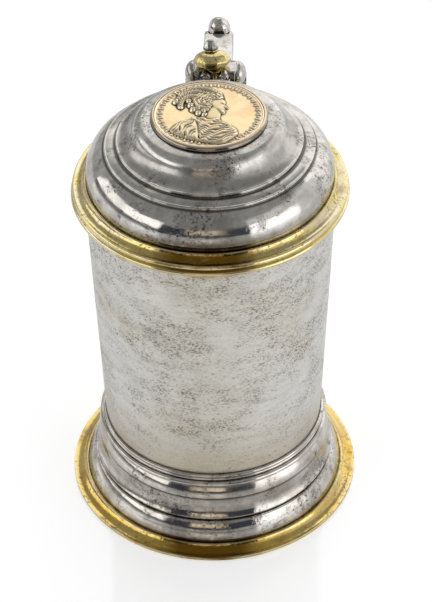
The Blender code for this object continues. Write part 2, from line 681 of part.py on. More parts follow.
def limb_ring(point, direction, width, depth):
    """An eight-sided section of the handle, square to its line."""
    outward = Vector((-direction.y, direction.x))
    half_width = width / 2
    half_depth = depth / 2
    flat_width = half_width * (1 - LIMB_FACET)
    flat_depth = half_depth * (1 - LIMB_FACET)
    corners = [
        (half_width, flat_depth),
        (flat_width, half_depth),
        (-flat_width, half_depth),
        (-half_width, flat_depth),
        (-half_width, -flat_depth),
        (-flat_width, -half_depth),
        (flat_width, -half_depth),
        (half_width, -flat_depth),
    ]
    ring = []
    for across, out in corners:
        spot = point + outward * out
        ring.append((across, spot.x, spot.y))
    return ring


def limb_rings(margin, head=True):
    """Sections down the handle, grown by a margin, below the rings of its rounded head."""
    rings = []
    top, heading = limb_point(0)
    for step in range(HEAD_RINGS if head else 0):
        turn = math.pi / 2 * (HEAD_RINGS - step) / (HEAD_RINGS + 1)
        scale = math.cos(turn)
        centre = top - heading * (HEAD_HEIGHT + margin) * math.sin(turn)
        rings.append(
            limb_ring(centre, heading, (LIMB_WIDTH + 2 * margin) * scale, (LIMB_DEPTH + 2 * margin) * scale)
        )
    for step in range(LIMB_RINGS + 1):
        share = step / LIMB_RINGS
        point, direction = limb_point(share)
        scale = 1 - share * (1 - LIMB_END_SHARE)
        rings.append(
            limb_ring(point, direction, LIMB_WIDTH * scale + 2 * margin, LIMB_DEPTH * scale + 2 * margin)
        )
    return rings


def handle_pieces(parent, silver):
    """The flat plate behind the hinge, the arm under it, the hollow limb and its pad on the drum."""
    plate_outline = [
        (PLATE_START, PLATE_FOOT),
        (PLATE_END, PLATE_FOOT),
        (PLATE_END, PLATE_TOP),
        (PLATE_START, PLATE_TOP),
    ]
    plate = new_object("handle_plate", slab_mesh(plate_outline, PLATE_WIDTH), silver, parent)
    bevel(plate, PLATE_BEVEL)

    arm_root = DRUM_TOP_RADIUS - 2 * DRUM_WALL
    arm_front_top = DRUM_TOP - ARM_BELOW_LIP
    arm_top = PLATE_FOOT - GAP
    under_yoke = YOKE_FOOT - GAP
    arm_end = (LIMB_START, arm_top - ARM_END_HEIGHT)
    arm_foot = (arm_root, arm_front_top - ARM_ROOT_HEIGHT)
    arm_outline = [
        (arm_root, arm_front_top),
        (HINGE_REACH - 2 * YOKE_FRONT, arm_front_top),
        (HINGE_REACH - YOKE_FRONT, under_yoke),
        (PLATE_START, under_yoke),
        (PLATE_START, arm_top),
        (LIMB_START, arm_top),
        arm_end,
    ]
    arm_outline += arc(arm_end, arm_foot, -ARM_HOLLOW, 8)
    arm_width = PLATE_WIDTH - 2 * ARM_INSET
    arm = new_object("handle_arm", slab_mesh(arm_outline, arm_width), silver, parent)
    bevel(arm, ARM_BEVEL)
    trim(arm, drum_helper("drum_clearance", GAP, parent, silver))
    limb_space = new_object("limb_clearance", loft_mesh(limb_rings(GAP)), silver, parent)
    trim(arm, limb_space)

    mesh_data = bmesh.new()
    outer_top, outer_end = skin(mesh_data, limb_rings(0))
    inner_top, inner_end = skin(mesh_data, limb_rings(-LIMB_WALL, head=False))
    mesh_data.faces.new(outer_top)
    mesh_data.faces.new(inner_top)
    for index in range(OCTAGON):
        after = (index + 1) % OCTAGON
        mesh_data.faces.new((outer_end[index], outer_end[after], inner_end[after], inner_end[index]))
    limb = new_object("handle_limb", mesh_data, silver, parent)
    trim(limb, drum_helper("pad_clearance", PAD_THICKNESS + 2 * GAP, parent, silver))

    turns = [math.tau * index / SMALL_SEGMENTS for index in range(SMALL_SEGMENTS)]
    rings = []
    for reach in (DRUM_BOTTOM_RADIUS / 2, DRUM_TOP_RADIUS + 2 * PAD_WIDTH):
        rings.append(
            [
                (
                    PAD_WIDTH / 2 * math.cos(turn),
                    reach,
                    LIMB_FOOT_HEIGHT + PAD_HEIGHT / 2 * math.sin(turn),
                )
                for turn in turns
            ]
        )
    pad = new_object("handle_lower_pad", loft_mesh(rings), silver, parent)
    trim(pad, drum_helper("pad_back", GAP, parent, silver))
    trim(pad, drum_helper("pad_front", GAP + PAD_THICKNESS, parent, silver), "INTERSECT")


def handle_reach():
    """How far the back of the handle lies from the drum's axis."""
    return max(y for ring in limb_rings(0) for x, y, z in ring)


def empty(name, place, parent=None):
    """An empty that carries pieces."""
    item = bpy.data.objects.new(name, None)
    bpy.context.scene.collection.objects.link(item)
    item.location = place
    item.parent = parent
    return item


def main():
    """Clears the scene and builds the tankard with its origin under the middle of its box."""
    for item in list(bpy.data.objects):
        bpy.data.objects.remove(item)
    matte_silver = metal("matte_silver", (0.72, 0.71, 0.67), 0.5)
    bright_silver = metal("bright_silver", (0.70, 0.70, 0.68), 0.25)
    gilding = metal("gilding", (0.78, 0.58, 0.22), 0.3)

    axis = empty("tankard_axis", (0, (FOOT_RADIUS - handle_reach()) / 2, 0))
    hinge = empty("lid_hinge", (0, HINGE_REACH, HINGE_HEIGHT), axis)
    lid_place = (0, -HINGE_REACH, -HINGE_HEIGHT)
    bore = PIN_RADIUS + PIN_PLAY

    foot_pieces(axis, bright_silver, gilding)
    drum_pieces(axis, matte_silver)
    handle_pieces(axis, bright_silver)
    hinge_pieces(axis, bright_silver, bore)
    lid_pieces(hinge, lid_place, bright_silver, gilding)
    leaf = hinge_leaf(hinge, lid_place, bright_silver)
    trim(leaf, bar_helper("leaf_bore", bore, 2 * LEAF_WIDTH, axis, bright_silver))
    thumb_pieces(hinge, bright_silver, gilding)


main()
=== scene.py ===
"""Looks of a lidded silver tankard, parcel gilt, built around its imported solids.

Shapes are worked out in millimetres about the drum's axis, with heights from the table and the handle at +Y,
and go into the frame in metres.
"""

import math

import bmesh
import bpy
import numpy as np
from mathutils import Matrix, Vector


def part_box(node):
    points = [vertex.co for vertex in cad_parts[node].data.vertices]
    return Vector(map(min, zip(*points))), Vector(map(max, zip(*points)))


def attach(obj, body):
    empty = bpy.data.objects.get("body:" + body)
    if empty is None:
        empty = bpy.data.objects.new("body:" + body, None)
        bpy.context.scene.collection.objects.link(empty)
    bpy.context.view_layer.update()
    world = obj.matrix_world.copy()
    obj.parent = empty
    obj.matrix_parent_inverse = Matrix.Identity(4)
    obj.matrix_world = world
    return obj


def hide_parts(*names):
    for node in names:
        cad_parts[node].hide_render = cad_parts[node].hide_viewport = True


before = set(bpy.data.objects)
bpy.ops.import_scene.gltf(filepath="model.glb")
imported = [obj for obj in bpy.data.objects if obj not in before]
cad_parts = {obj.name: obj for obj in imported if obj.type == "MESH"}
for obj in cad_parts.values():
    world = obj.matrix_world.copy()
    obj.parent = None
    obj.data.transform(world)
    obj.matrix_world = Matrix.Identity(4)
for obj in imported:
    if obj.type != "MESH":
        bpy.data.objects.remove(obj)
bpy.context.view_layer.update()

MM = 0.001
TAU = math.tau
drum_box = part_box("drum")
AXIS = np.array([0.0, (drum_box[0].y + drum_box[1].y) / 2, 0.0])

# Fit between soldered pieces
GAP = 0.3

# Foot, as radii and heights; a pair for painted shade, gilding or rubbing says where it starts and where it
# is full
FOOT_RADIUS = 64.8
FOOT_EDGE = 1.9
FOOT_TOP = 4.4
FOOT_SEAT = 55.3
FOOT_BEAD = 57.9
FOOT_BEAD_RISE = 0.5
FOOT_SLOPE_TOP = 59.4
FOOT_HOLLOW = 0.9
FOOT_ROUND = 0.4
FOOT_RIM = 60.8
FOOT_PAINTED_SHADE = (61.6, 58.8)
SKIRT_FOOT = 4.45
SKIRT_TOP = 32.0
SKIRT_LEDGE = 40.5
SKIRT_ROLL_FOOT = (57.7, SKIRT_FOOT)
SKIRT_ROLL_MIDDLE = (56.45, 9.85)
SKIRT_ROLL_TOP = (54.2, 13.9)
SKIRT_CREASE = (52.6, 13.7)
SKIRT_FILLET = (53.8, 15.8)
SKIRT_HOLLOW = (51.75, 21.5)
SKIRT_BEAD_FOOT = (51.6, 25.6)
SKIRT_BEAD_EDGE = (52.1, 26.8)
SKIRT_BEAD_TOP = (49.6, SKIRT_TOP)
SKIRT_BEAD_BOWS = (0.4, 0.25)
SKIRT_HOLLOW_BOW = 0.48
SKIRT_CREASE_BOW = 0.25
SKIRT_ROLL_BOWS = (0.15, 0.22, 0.27)
SKIRT_WALL = 1.1
SKIRT_LINING = 4.6
SKIRT_PAINTED_SHADE = (9.0, 6.0)
WIRE_RADIUS = 1.3
WIRE_HEIGHT = 33.6
THREAD_RADIUS = 0.8
THREAD_FOOT = 35.2
THREAD_BACK = 0.3

# Drum
DRUM_FOOT = 32.3
DRUM_TOP = 158.0
DRUM_TOP_RADIUS = 53.4
DRUM_BOTTOM_RADIUS = 48.5
DRUM_WALL = 1.0
LIP_ROUND = 0.25
LIP_GILT = (151.6, 153.6)
LIP_GILT_MIDDLE = 4
LIP_GILT_REACH = 10

# Heights in metres where the drum's pits and its painted shade, warmer towards the foot, start and are full
PITS_RISE = (0.030, 0.070)
PAINTED_FOOT_SHADE_RISE = (0.066, 0.040)

# Lid, as radii and heights; a pair for painted shade says where that shade starts and where it is full
LID_SEAT = 158.3
FLANGE_LOWER = 58.3
FLANGE_UPPER = 57.7
FLANGE_BEAD = 2.15
FLANGE_GROOVE = 0.5
FLANGE_BULGE = 0.7
FLANGE_HOLLOW = 0.85
FLANGE_EDGE_TOP = 163.1
FLANGE_TOP = 165.5
FLANGE_SLOPE_TOP = 53.4
FLANGE_INNER_BEAD = 52.1
FLANGE_BEAD_RISE = 0.45
FLANGE_SEAT = 50.1
FLANGE_WALL = 1.1
FLANGE_REBATE = 2.6
FLANGE_PAINTED_SHADE = (55.6, 52.8)
DOME_FOOT = (51.9, 165.55)
TORUS_TOP = (44.2, 181.0)
BAND_EDGE = (43.5, 182.3)
BAND_TOP = (39.2, 183.4)
DOME_EDGE = (38.5, 185.2)
DOME_SHOULDER = (31.78, 191.2)
DOME_RING = (27.72, 194.8)
DOME_TOP = 195.4
DOME_WALL = 1.0
DOME_BOW = 0.75
OGEE_BOW = 1.15
SHOULDER_DROP = 0.33
STEP_DROP = 0.7
STEP_BOW = 0.3
BAND_BOW = 0.08
TORUS_BOW = 3.3
DOME_PAINTED_SHADE = (173.0, 169.5)
DOME_RUBBED = (184.5, 186.0)
BEZEL_PLAY = 0.9
BEZEL_TAPER = 0.5
BEZEL_WALL = 1.1
BEZEL_WASHER = 1.2
BEZEL_DROP = 4.0
COLLAR_RADIUS = 24.5
COLLAR_TOP_RADIUS = 23.45
COLLAR_TOP = 197.7
COLLAR_FOOT = 0.4
COLLAR_BOW = 0.2
COLLAR_PAINTED_SHADE = (196.5, 196.0)
COLLAR_GILT = (197.3, 197.5)
MEDAL_RADIUS = 22.85
MEDAL_RIM = 22.2
MEDAL_RIM_RISE = 0.3
MEDAL_CHAMFER = 0.2
MEDAL_GROUND = 21.85
MEDAL_SEAM = 0.1
MEDAL_HOLE = 20.3
MEDAL_FOOT = 195.7
MEDAL_FIELD = 197.2
RELIEF_PITCH = 0.11
RELIEF_BLUR = 0.10
GROOVE_BLUR = 0.55

# Hinge and thumbpiece
HINGE_REACH = 66.0
HINGE_HEIGHT = 172.4
BARREL_RADIUS = 5.5
LEAF_WIDTH = 18.7
LEAF_FACE = 59.0
LEAF_TOP = 177.9
LEAF_TOE = 52.62
LEAF_TOE_RISE = 2.7
LEAF_FACE_RISE = 5.9
LEAF_HEEL = 4.4
LEAF_ROUND = 0.5
LEAF_FRAME = 5.9
LEAF_FRAME_SLOPE = 0.5
LEAF_SINK = 1.0
LEAF_SINK_RISE = (1.0, 0.6)
KNUCKLE_WIDTH = 3.8
KNUCKLE_FULLNESS = 0.95
KNUCKLE_ROUND = 0.25
SIDES = (("left", -1), ("right", 1))
THUMB_PLACE = (-1.0, 60.0, 178.2)
THUMB_TILT = math.radians(20)
THUMB_LEAN = math.radians(2.5)
FINIAL_SHIFT = 0.5
FACET_SIDES = 10
FACET_ROUND = 0.025
BALL_LEVELS = (
    (0, 0.5), (3.2, 0.5), (6.6, 1.6), (8.3, 4.0), (8.3, 4.7),
    (6.6, 7.2), (3.4, 8.4), (2.4, 8.4), (2.4, 8.8), (0, 8.8),
)
FINIAL_LEVELS = ((0, 8.8), (2.8, 8.8), (3.4, 9.4), (3.0, 10.8), (1.7, 12.9), (1.0, 13.3), (0, 13.3))
STEM_LEVELS = (
    (0, 170.6), (1.0, 170.7), (1.7, 171.6), (1.2, 172.8), (0.9, 174.4),
    (1.3, 176.2), (2.3, 177.6), (2.6, 178.5), (0, 178.6),
)
STEM_INSET = 0.6
VOLUTE_RADIUS = 2.4
VOLUTE_REACH = 4.0
VOLUTE_BELOW_TOP = 2.5
VOLUTE_PITCH = 1.05
VOLUTE_EYE = 0.75
VOLUTE_COLUMNS = 72

# Handle
PLATE_START = 75.0
PLATE_END = 102.8
PLATE_TOP = 168.3
PLATE_WIDTH = 14.3
PLATE_NARROWING = 0.16
PLATE_THICKNESS = 1.5
PLATE_ROUND = 0.35
LIMB_WIDTH = 10.2
LIMB_DEPTH = 10.4
LIMB_FACET = 0.58
LIMB_ROUND = 0.5
LIMB_END_SHARE = 0.78
LIMB_HEAD = 3.6
HOOD_FOOT = 163.8
LIMB_LINE = ((109.0, 169.0), (121.0, 121.0), (98.66, 76.0), (48.66, 62.0))

# Waves of hand raising: size, count round the axis, start, and height over which each turns by one radian.
# They grow with the radius, and some of each lifts the wall, from a little over the table
SWAY_WAVES = ((0.10, 2, 0.7, 40), (0.07, 3, -1.1, -25), (0.05, 5, 2.1, 18), (0.03, 9, 0.3, -9))
SWAY_RADII = (0, 20)
SWAY_LIFT = 0.4
SWAY_LIFT_HEIGHTS = (3, 13)


def ramp(values, start, end):
    """An even rise from nought at start to one at end, which keeps those values beyond them."""
    return np.clip((values - start) / (end - start), 0, 1)


def stations(line):
    """How far along a line each of its points lies."""
    return np.r_[0, np.cumsum(np.hypot(*np.diff(line, axis=0).T))]


def bowed(start, end, bulge=0.0, count=8):
    """Points on a circular arc from start to end that stands off its chord by bulge, to the left."""
    start = np.array(start, float)
    chord = np.array(end, float) - start
    length = np.hypot(*chord)
    along = chord / length
    left = np.array([-along[1], along[0]])
    half = 2 * math.atan2(2 * bulge, length)
    share = np.linspace(-1, 1, count + 1)[:, None]
    if abs(half) < 1e-6:
        return start + along * length * (share + 1) / 2
    radius = length / (2 * math.sin(half))
    run = length / 2 + radius * np.sin(half * share)
    rise = radius * (np.cos(half * share) - math.cos(half))
    return start + along * run + left * rise


def outline(*runs):
    """One line of points from several runs, without the points that repeat."""
    points = np.vstack([np.atleast_2d(np.array(run, float)) for run in runs])
    step = np.hypot(*np.diff(points, axis=0).T)
    return points[np.r_[True, step > 1e-6]]


def softened(points, reach, closed=True, steps=3):
    """A line whose corners are short parabolas, which leave the sides at most reach from each corner."""
    before = np.roll(points, 1, axis=0) - points
    after = np.roll(points, -1, axis=0) - points
    length_before = np.hypot(*before.T)[:, None]
    length_after = np.hypot(*after.T)[:, None]
    cut = np.minimum(reach, 0.45 * np.minimum(length_before, length_after))
    if not closed:
        cut[0] = 0
        cut[-1] = 0
    first = (points + before / length_before * cut)[:, None, :]
    last = (points + after / length_after * cut)[:, None, :]
    share = np.linspace(0, 1, steps + 1)[None, :, None]
    curve = (1 - share) ** 2 * first + 2 * share * (1 - share) * points[:, None, :] + share**2 * last
    return outline(curve.reshape(-1, 2))


def flowing(points, count=8, closed=True):
    """A smooth line through points.

    Each span is a cubic whose slopes at its ends are half the step between the neighbours on either side.
    """
    points = np.array(points, float)
    if closed:
        ring = np.vstack([points[-1:], points, points[:2]])
    else:
        ring = np.vstack([2 * points[:1] - points[1:2], points, 2 * points[-1:] - points[-2:-1]])
    p0, p1, p2, p3 = ring[:-3], ring[1:-2], ring[2:-1], ring[3:]
    share = np.linspace(0, 1, count, endpoint=False)[None, :, None]
    span = 0.5 * (
        2 * p1[:, None]
        + (p2 - p0)[:, None] * share
        + (2 * p0 - 5 * p1 + 4 * p2 - p3)[:, None] * share**2
        + (3 * p1 - p0 - 3 * p2 + p3)[:, None] * share**3
    )
    line = span.reshape(-1, points.shape[1])
    return line if closed else np.vstack([line, points[-1:]])


def hollows(points, closed, reach=1.1):
    """How far each point of a line lies below the line's own average over reach, in tenths of a millimetre.

    The average is a bell-shaped blur along the line. The sign is plus in a groove and minus on an edge.
    """
    loop = np.vstack([points, points[:1]]) if closed else points
    station = stations(loop)
    pitch = 0.1
    count = max(int(station[-1] / pitch), 16)
    even = np.linspace(0, station[-1], count, endpoint=not closed)
    line = np.stack([np.interp(even, station, loop[:, axis]) for axis in (0, 1)], axis=1)
    width = min(int(3 * reach / pitch), count // 2 - 1)
    bell_curve = np.exp(-0.5 * (np.arange(-width, width + 1) * pitch / reach) ** 2)
    bell_curve /= bell_curve.sum()
    padded = np.pad(line, ((width, width), (0, 0)), mode="wrap" if closed else "edge")
    smooth = np.stack([np.convolve(padded[:, axis], bell_curve, mode="valid") for axis in (0, 1)], axis=1)
    along = np.gradient(smooth, axis=0)
    out = np.stack([-along[:, 1], along[:, 0]], axis=1)
    out /= np.hypot(*out.T)[:, None] + 1e-9
    depth = ((smooth - line) * out).sum(axis=1) * 10
    return np.interp(station[: len(points)], even, depth)


def hand_sway(angle, height):
    """Unevenness of hand raising, in millimetres: slow waves round the axis, which turn with the height."""
    uneven = 0
    for size, count, start, rise in SWAY_WAVES:
        uneven = uneven + size * np.cos(count * angle + start + height / rise)
    return uneven


def grid_faces(rows, columns, wrap_rows):
    """Quads between neighbouring rows and columns of a grid whose columns close on themselves."""
    row = np.arange(rows if wrap_rows else rows - 1)[:, None]
    column = np.arange(columns)[None, :]
    start = row * columns
    below = (row + 1) % rows * columns
    beside = (column + 1) % columns
    corners = (start + column, below + column, below + beside, start + beside)
    return np.stack(np.broadcast_arrays(*corners), axis=-1).reshape(-1, 4)


def capped_faces(rows, columns):
    """The quads of a grid of closed rows, with a face over its first row and one over its last."""
    ends = [list(range(columns)), list(range((rows - 1) * columns, rows * columns))]
    return grid_faces(rows, columns, False).tolist() + ends


def turned(points, closed=True, turns=192, sway=1.0):
    """A line of (radius, height) points turned round the axis, from the handle's side and back to it.

    Returns the points, the quads, the face corners' places along the girth and the line, and the grooves.
    """
    angle = TAU * np.arange(turns)[None, :] / turns + TAU / 4
    radius = points[:, :1]
    height = points[:, 1:]
    uneven = sway * hand_sway(angle, height) * ramp(radius, *SWAY_RADII)
    wide = radius + uneven
    rise = height + SWAY_LIFT * uneven * ramp(height, *SWAY_LIFT_HEIGHTS)
    spots = np.stack(np.broadcast_arrays(wide * np.cos(angle), wide * np.sin(angle), rise), axis=-1)
    station = stations(np.vstack([points, points[:1]]))
    row = np.arange(len(points) if closed else len(points) - 1)[:, None, None]
    column = np.arange(turns)[None, :, None]
    along = (column + np.array([0, 0, 1, 1])) * TAU * points[:, 0].max() / turns
    down = station[row + np.array([0, 1, 1, 0])]
    corners = np.stack(np.broadcast_arrays(along, down), axis=-1).reshape(-1, 2)
    grooves = np.repeat(hollows(points, closed), turns)
    return spots.reshape(-1, 3), grid_faces(len(points), turns, closed), corners, grooves


def put(name, shape, body, replaced, material, marks=None, sharp=35.0):
    """A piece from a shape's points, faces, face-corner places and grooves, on its body, for its solids.

    Marks are further values at the points, which its material reads by their names.
    """
    spots, faces, corners, grooves = shape
    mesh = bpy.data.meshes.new(name)
    mesh.from_pydata(spots * MM + AXIS, [], faces)
    if corners is not None:
        layer = mesh.uv_layers.new(name="along")
        layer.data.foreach_set("uv", (corners * MM).ravel())
    for title, values in ({"groove": grooves} | (marks or {})).items():
        layer = mesh.attributes.new(title, "FLOAT", "POINT")
        layer.data.foreach_set("value", np.asarray(values, np.float32))
    work = bmesh.new()
    work.from_mesh(mesh)
    bmesh.ops.remove_doubles(work, verts=work.verts, dist=1e-7)
    bmesh.ops.recalc_face_normals(work, faces=work.faces)
    work.to_mesh(mesh)
    work.free()
    mesh.shade_smooth()
    mesh.set_sharp_from_angle(angle=math.radians(sharp))
    mesh.materials.append(material)
    piece = bpy.data.objects.new(name, mesh)
    bpy.context.scene.collection.objects.link(piece)
    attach(piece, body)
    if replaced:
        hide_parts(*replaced)


def keep_solid(material, *names):
    """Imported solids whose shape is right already, with a better finish."""
    for name in names:
        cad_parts[name].data.materials.clear()
        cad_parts[name].data.materials.append(material)


def linear(code):
    """A colour for a socket from its sRGB hex code: each channel's curve undone, with full opacity."""
    channels = [int(code[place : place + 2], 16) / 255 for place in (1, 3, 5)]
    return (*[c / 12.92 if c <= 0.04045 else ((c + 0.055) / 1.055) ** 2.4 for c in channels], 1.0)


def node(tree, kind, sockets=None, **settings):
    """Adds a node with its settings, gives its sockets a value or a link each, and returns its outputs."""
    made = tree.nodes.new("ShaderNode" + kind)
    for name, value in settings.items():
        setattr(made, name, value)
    for name, value in (sockets or {}).items():
        if isinstance(value, bpy.types.NodeSocket):
            tree.links.new(value, made.inputs[name])
        else:
            made.inputs[name].default_value = value
    return made.outputs


def new_finish(name, *marks):
    """An empty metal with its tree, its shader, the piece's own coordinates and the values of its marks."""
    material = bpy.data.materials.new(name)
    material.use_nodes = True
    tree = material.node_tree
    shader = tree.nodes["Principled BSDF"]
    shader.inputs["Metallic"].default_value = 1.0
    values = [node(tree, "Attribute", attribute_name=mark)["Fac"] for mark in marks]
    return material, tree, shader, node(tree, "TexCoord")["Object"], *values


def clouds(tree, place, size_mm, low, high, detail=4.0):
    """Patches about size_mm across: noise whose values from low to high rise smoothly from nought to one."""
    grain = {"Vector": place, "Scale": 1 / (size_mm * MM), "Detail": detail, "Roughness": 0.6}
    span = {"Value": node(tree, "TexNoise", grain)["Fac"], "From Min": low, "From Max": high}
    return node(tree, "MapRange", span, interpolation_type="SMOOTHSTEP")[0]


def pits(tree, place, size_mm, density):
    """Round pits in a share of cells size_mm wide: cells whose own random number lies below density."""
    cells = node(tree, "TexVoronoi", {"Vector": place, "Scale": 1 / (size_mm * MM)})
    chance = node(tree, "SeparateColor", {"Color": cells["Color"]})["Red"]
    chosen = node(tree, "Math", {0: chance, 1: density}, operation="LESS_THAN")[0]
    dot = node(tree, "MapRange", {"Value": cells["Distance"], "From Min": 0.45, "From Max": 0.15})[0]
    return node(tree, "Math", {0: dot, 1: chosen}, operation="MULTIPLY")[0]


def coats(tree, ground, *layers):
    """A ground colour under coats of others: each is mixed in by its strength times all its masks."""
    for strength, colour, *masks in layers:
        share = strength
        for mask in masks:
            share = node(tree, "Math", {0: mask, 1: share}, operation="MULTIPLY")[0]
        ground = node(tree, "Mix", {0: share, 6: ground, 7: linear(colour)}, data_type="RGBA")[2]
    return ground


def dress(tree, shader, colour, rough):
    """Gives a shader its colour, and its roughness by a mapped span of values."""
    tree.links.new(colour, shader.inputs["Base Color"])
    tree.links.new(node(tree, "MapRange", rough)[0], shader.inputs["Roughness"])


def slopes(tree, shader, *heights):
    """Gives a shader the slopes of height patterns, each with its own depth in millimetres."""
    normal = {}
    for height, depth_mm in heights:
        sockets = {"Height": height, "Distance": depth_mm * MM, "Strength": 1.0}
        normal = {"Normal": node(tree, "Bump", sockets | normal)[0]}
    tree.links.new(normal["Normal"], shader.inputs["Normal"])


def old_polished_silver(name, clean="#d3d0c9", tarnish="#96918a", shift=0.0):
    """Silver raised by hammer, polished for centuries and left to tarnish.

    It gives a softly wavy mirror, hazed with grey, smudged and specked black in patches, brown where dirt
    lies in the grooves, and gilt, dulled or browned where its marks say so; the brown there is painted shade,
    with a painted reflection of the gilding on the foot and the lid's torus.
    """
    material, tree, shader, place, *marks = new_finish(name, "groove", "painted_shade", "gilt", "rubbed")
    groove, painted_shade, gilt, rubbed = marks
    moved = node(tree, "Mapping", {"Vector": place, "Location": (shift, shift, shift)})[0]
    haze = clouds(tree, moved, 16, 0.40, 0.70, detail=6)
    patches = clouds(tree, moved, 20, 0.47, 0.60)
    smudges = clouds(tree, moved, 2.6, 0.47, 0.66, detail=6)
    crumbs = node(tree, "Math", {0: smudges, 1: patches}, operation="MULTIPLY")[0]
    grit = clouds(tree, moved, 1.0, 0.58, 0.64, detail=2)
    dirt = node(tree, "MapRange", {"Value": groove, "From Min": 0.2, "From Max": 1.6})[0]
    breath = clouds(tree, moved, 5, 0.42, 0.66, detail=6)
    shade_patches = clouds(tree, moved, 4, 0.15, 0.45)
    colour = coats(
        tree,
        linear(clean),
        (0.6, tarnish, haze),
        (0.3, "#8b8478", breath),
        (0.55, "#5d5751", crumbs),
        (0.85, "#2b2724", grit, patches),
        (0.8, "#38322b", dirt),
        # Painted shade and painted reflection of the gilding: a brown coat where the piece's shade mark says
        # so
        (0.9, "#4a3a1e", painted_shade, shade_patches),
        (0.85, "#e8cfa6", gilt),
    )
    dull = node(tree, "Math", {0: haze, 1: dirt}, operation="ADD")[0]
    dull = node(tree, "Math", {0: dull, 1: rubbed}, operation="ADD")[0]
    rough = {"Value": dull, "From Max": 1.7, "To Min": 0.06, "To Max": 0.32}
    dress(tree, shader, colour, rough)
    waves = clouds(tree, moved, 14, 0.2, 0.8, detail=2)
    planish = clouds(tree, moved, 4.5, 0.2, 0.8, detail=2)
    slopes(tree, shader, (waves, 0.10), (planish, 0.015), (crumbs, -0.03))
    return material


def pitted_matte_silver(name):
    """Old sheet silver, once polished, now dull and whitened by use.

    It gives a soft grey sheen with fields of fine brown pits, level streaks, grey and warm stains, and traces
    of gilding under the lip. Painted shade makes it a little darker and warmer where it faces front and
    towards its foot.
    """
    material, tree, shader, place, front, gilt = new_finish(name, "front", "gilt")
    level = node(tree, "SeparateXYZ", {"Vector": place})["Z"]
    flat = node(tree, "Mapping", {"Vector": place, "Scale": (1, 1, 1.8)})[0]
    beside = node(tree, "Mapping", {"Vector": place, "Scale": (1, 1, 1.4), "Location": (0.7, 0.7, 0.7)})[0]
    streaked = node(tree, "Mapping", {"Vector": place, "Scale": (1, 1, 7), "Location": (0.3, 0.3, 0.3)})[0]
    fields = clouds(tree, flat, 36, 0.33, 0.62, detail=5)
    drifts = clouds(tree, flat, 9, 0.26, 0.64, detail=5)
    clear = node(tree, "MapRange", {"Value": level, "From Min": PITS_RISE[0], "From Max": PITS_RISE[1]})[0]
    worn = node(tree, "Math", {0: fields, 1: drifts}, operation="MULTIPLY")[0]
    worn = node(tree, "Math", {0: worn, 1: clear}, operation="MULTIPLY")[0]
    grit = clouds(tree, flat, 1.1, 0.50, 0.60, detail=2)
    thick = node(tree, "MapRange", {"Value": worn, "To Min": 0.12, "To Max": 1.1})[0]
    fine = node(tree, "Math", {0: grit, 1: thick}, operation="MULTIPLY")[0]
    lone = pits(tree, flat, 2.2, 0.05)
    stain = clouds(tree, beside, 30, 0.45, 0.75, detail=6)
    warm = clouds(tree, beside, 45, 0.48, 0.70, detail=5)
    streaks = clouds(tree, streaked, 16, 0.40, 0.70, detail=6)
    trace = clouds(tree, flat, 5, 0.36, 0.56, detail=5)
    low = node(tree, "MapRange", {"Value": level, "From Min": PAINTED_FOOT_SHADE_RISE[0], "From Max": PAINTED_FOOT_SHADE_RISE[1]})[0]
    colour = coats(
        tree,
        linear("#efefec"),
        # Painted shade: a little darker and warmer where the drum faces front
        (0.4, "#eee7d2", front),
        (0.35, "#c9c7bc", stain),
        (0.35, "#d6caab", warm),
        (0.15, "#b0aa9b", streaks),
        (0.22, "#ada28c", worn),
        # Painted shade: warmer and darker towards the drum's foot
        (0.5, "#c4b494", low),
        (0.85, "#c98a3c", gilt, trace),
        (0.68, "#5d4f39", fine),
        (0.5, "#5b5347", lone),
    )
    rough = {"Value": stain, "To Min": 0.40, "To Max": 0.52}
    dress(tree, shader, colour, rough)
    waves = clouds(tree, place, 20, 0.2, 0.8, detail=2)
    grain = clouds(tree, flat, 1.6, 0.2, 0.8)
    slopes(tree, shader, (waves, 0.06), (grain, 0.015), (fine, -0.08))
    return material


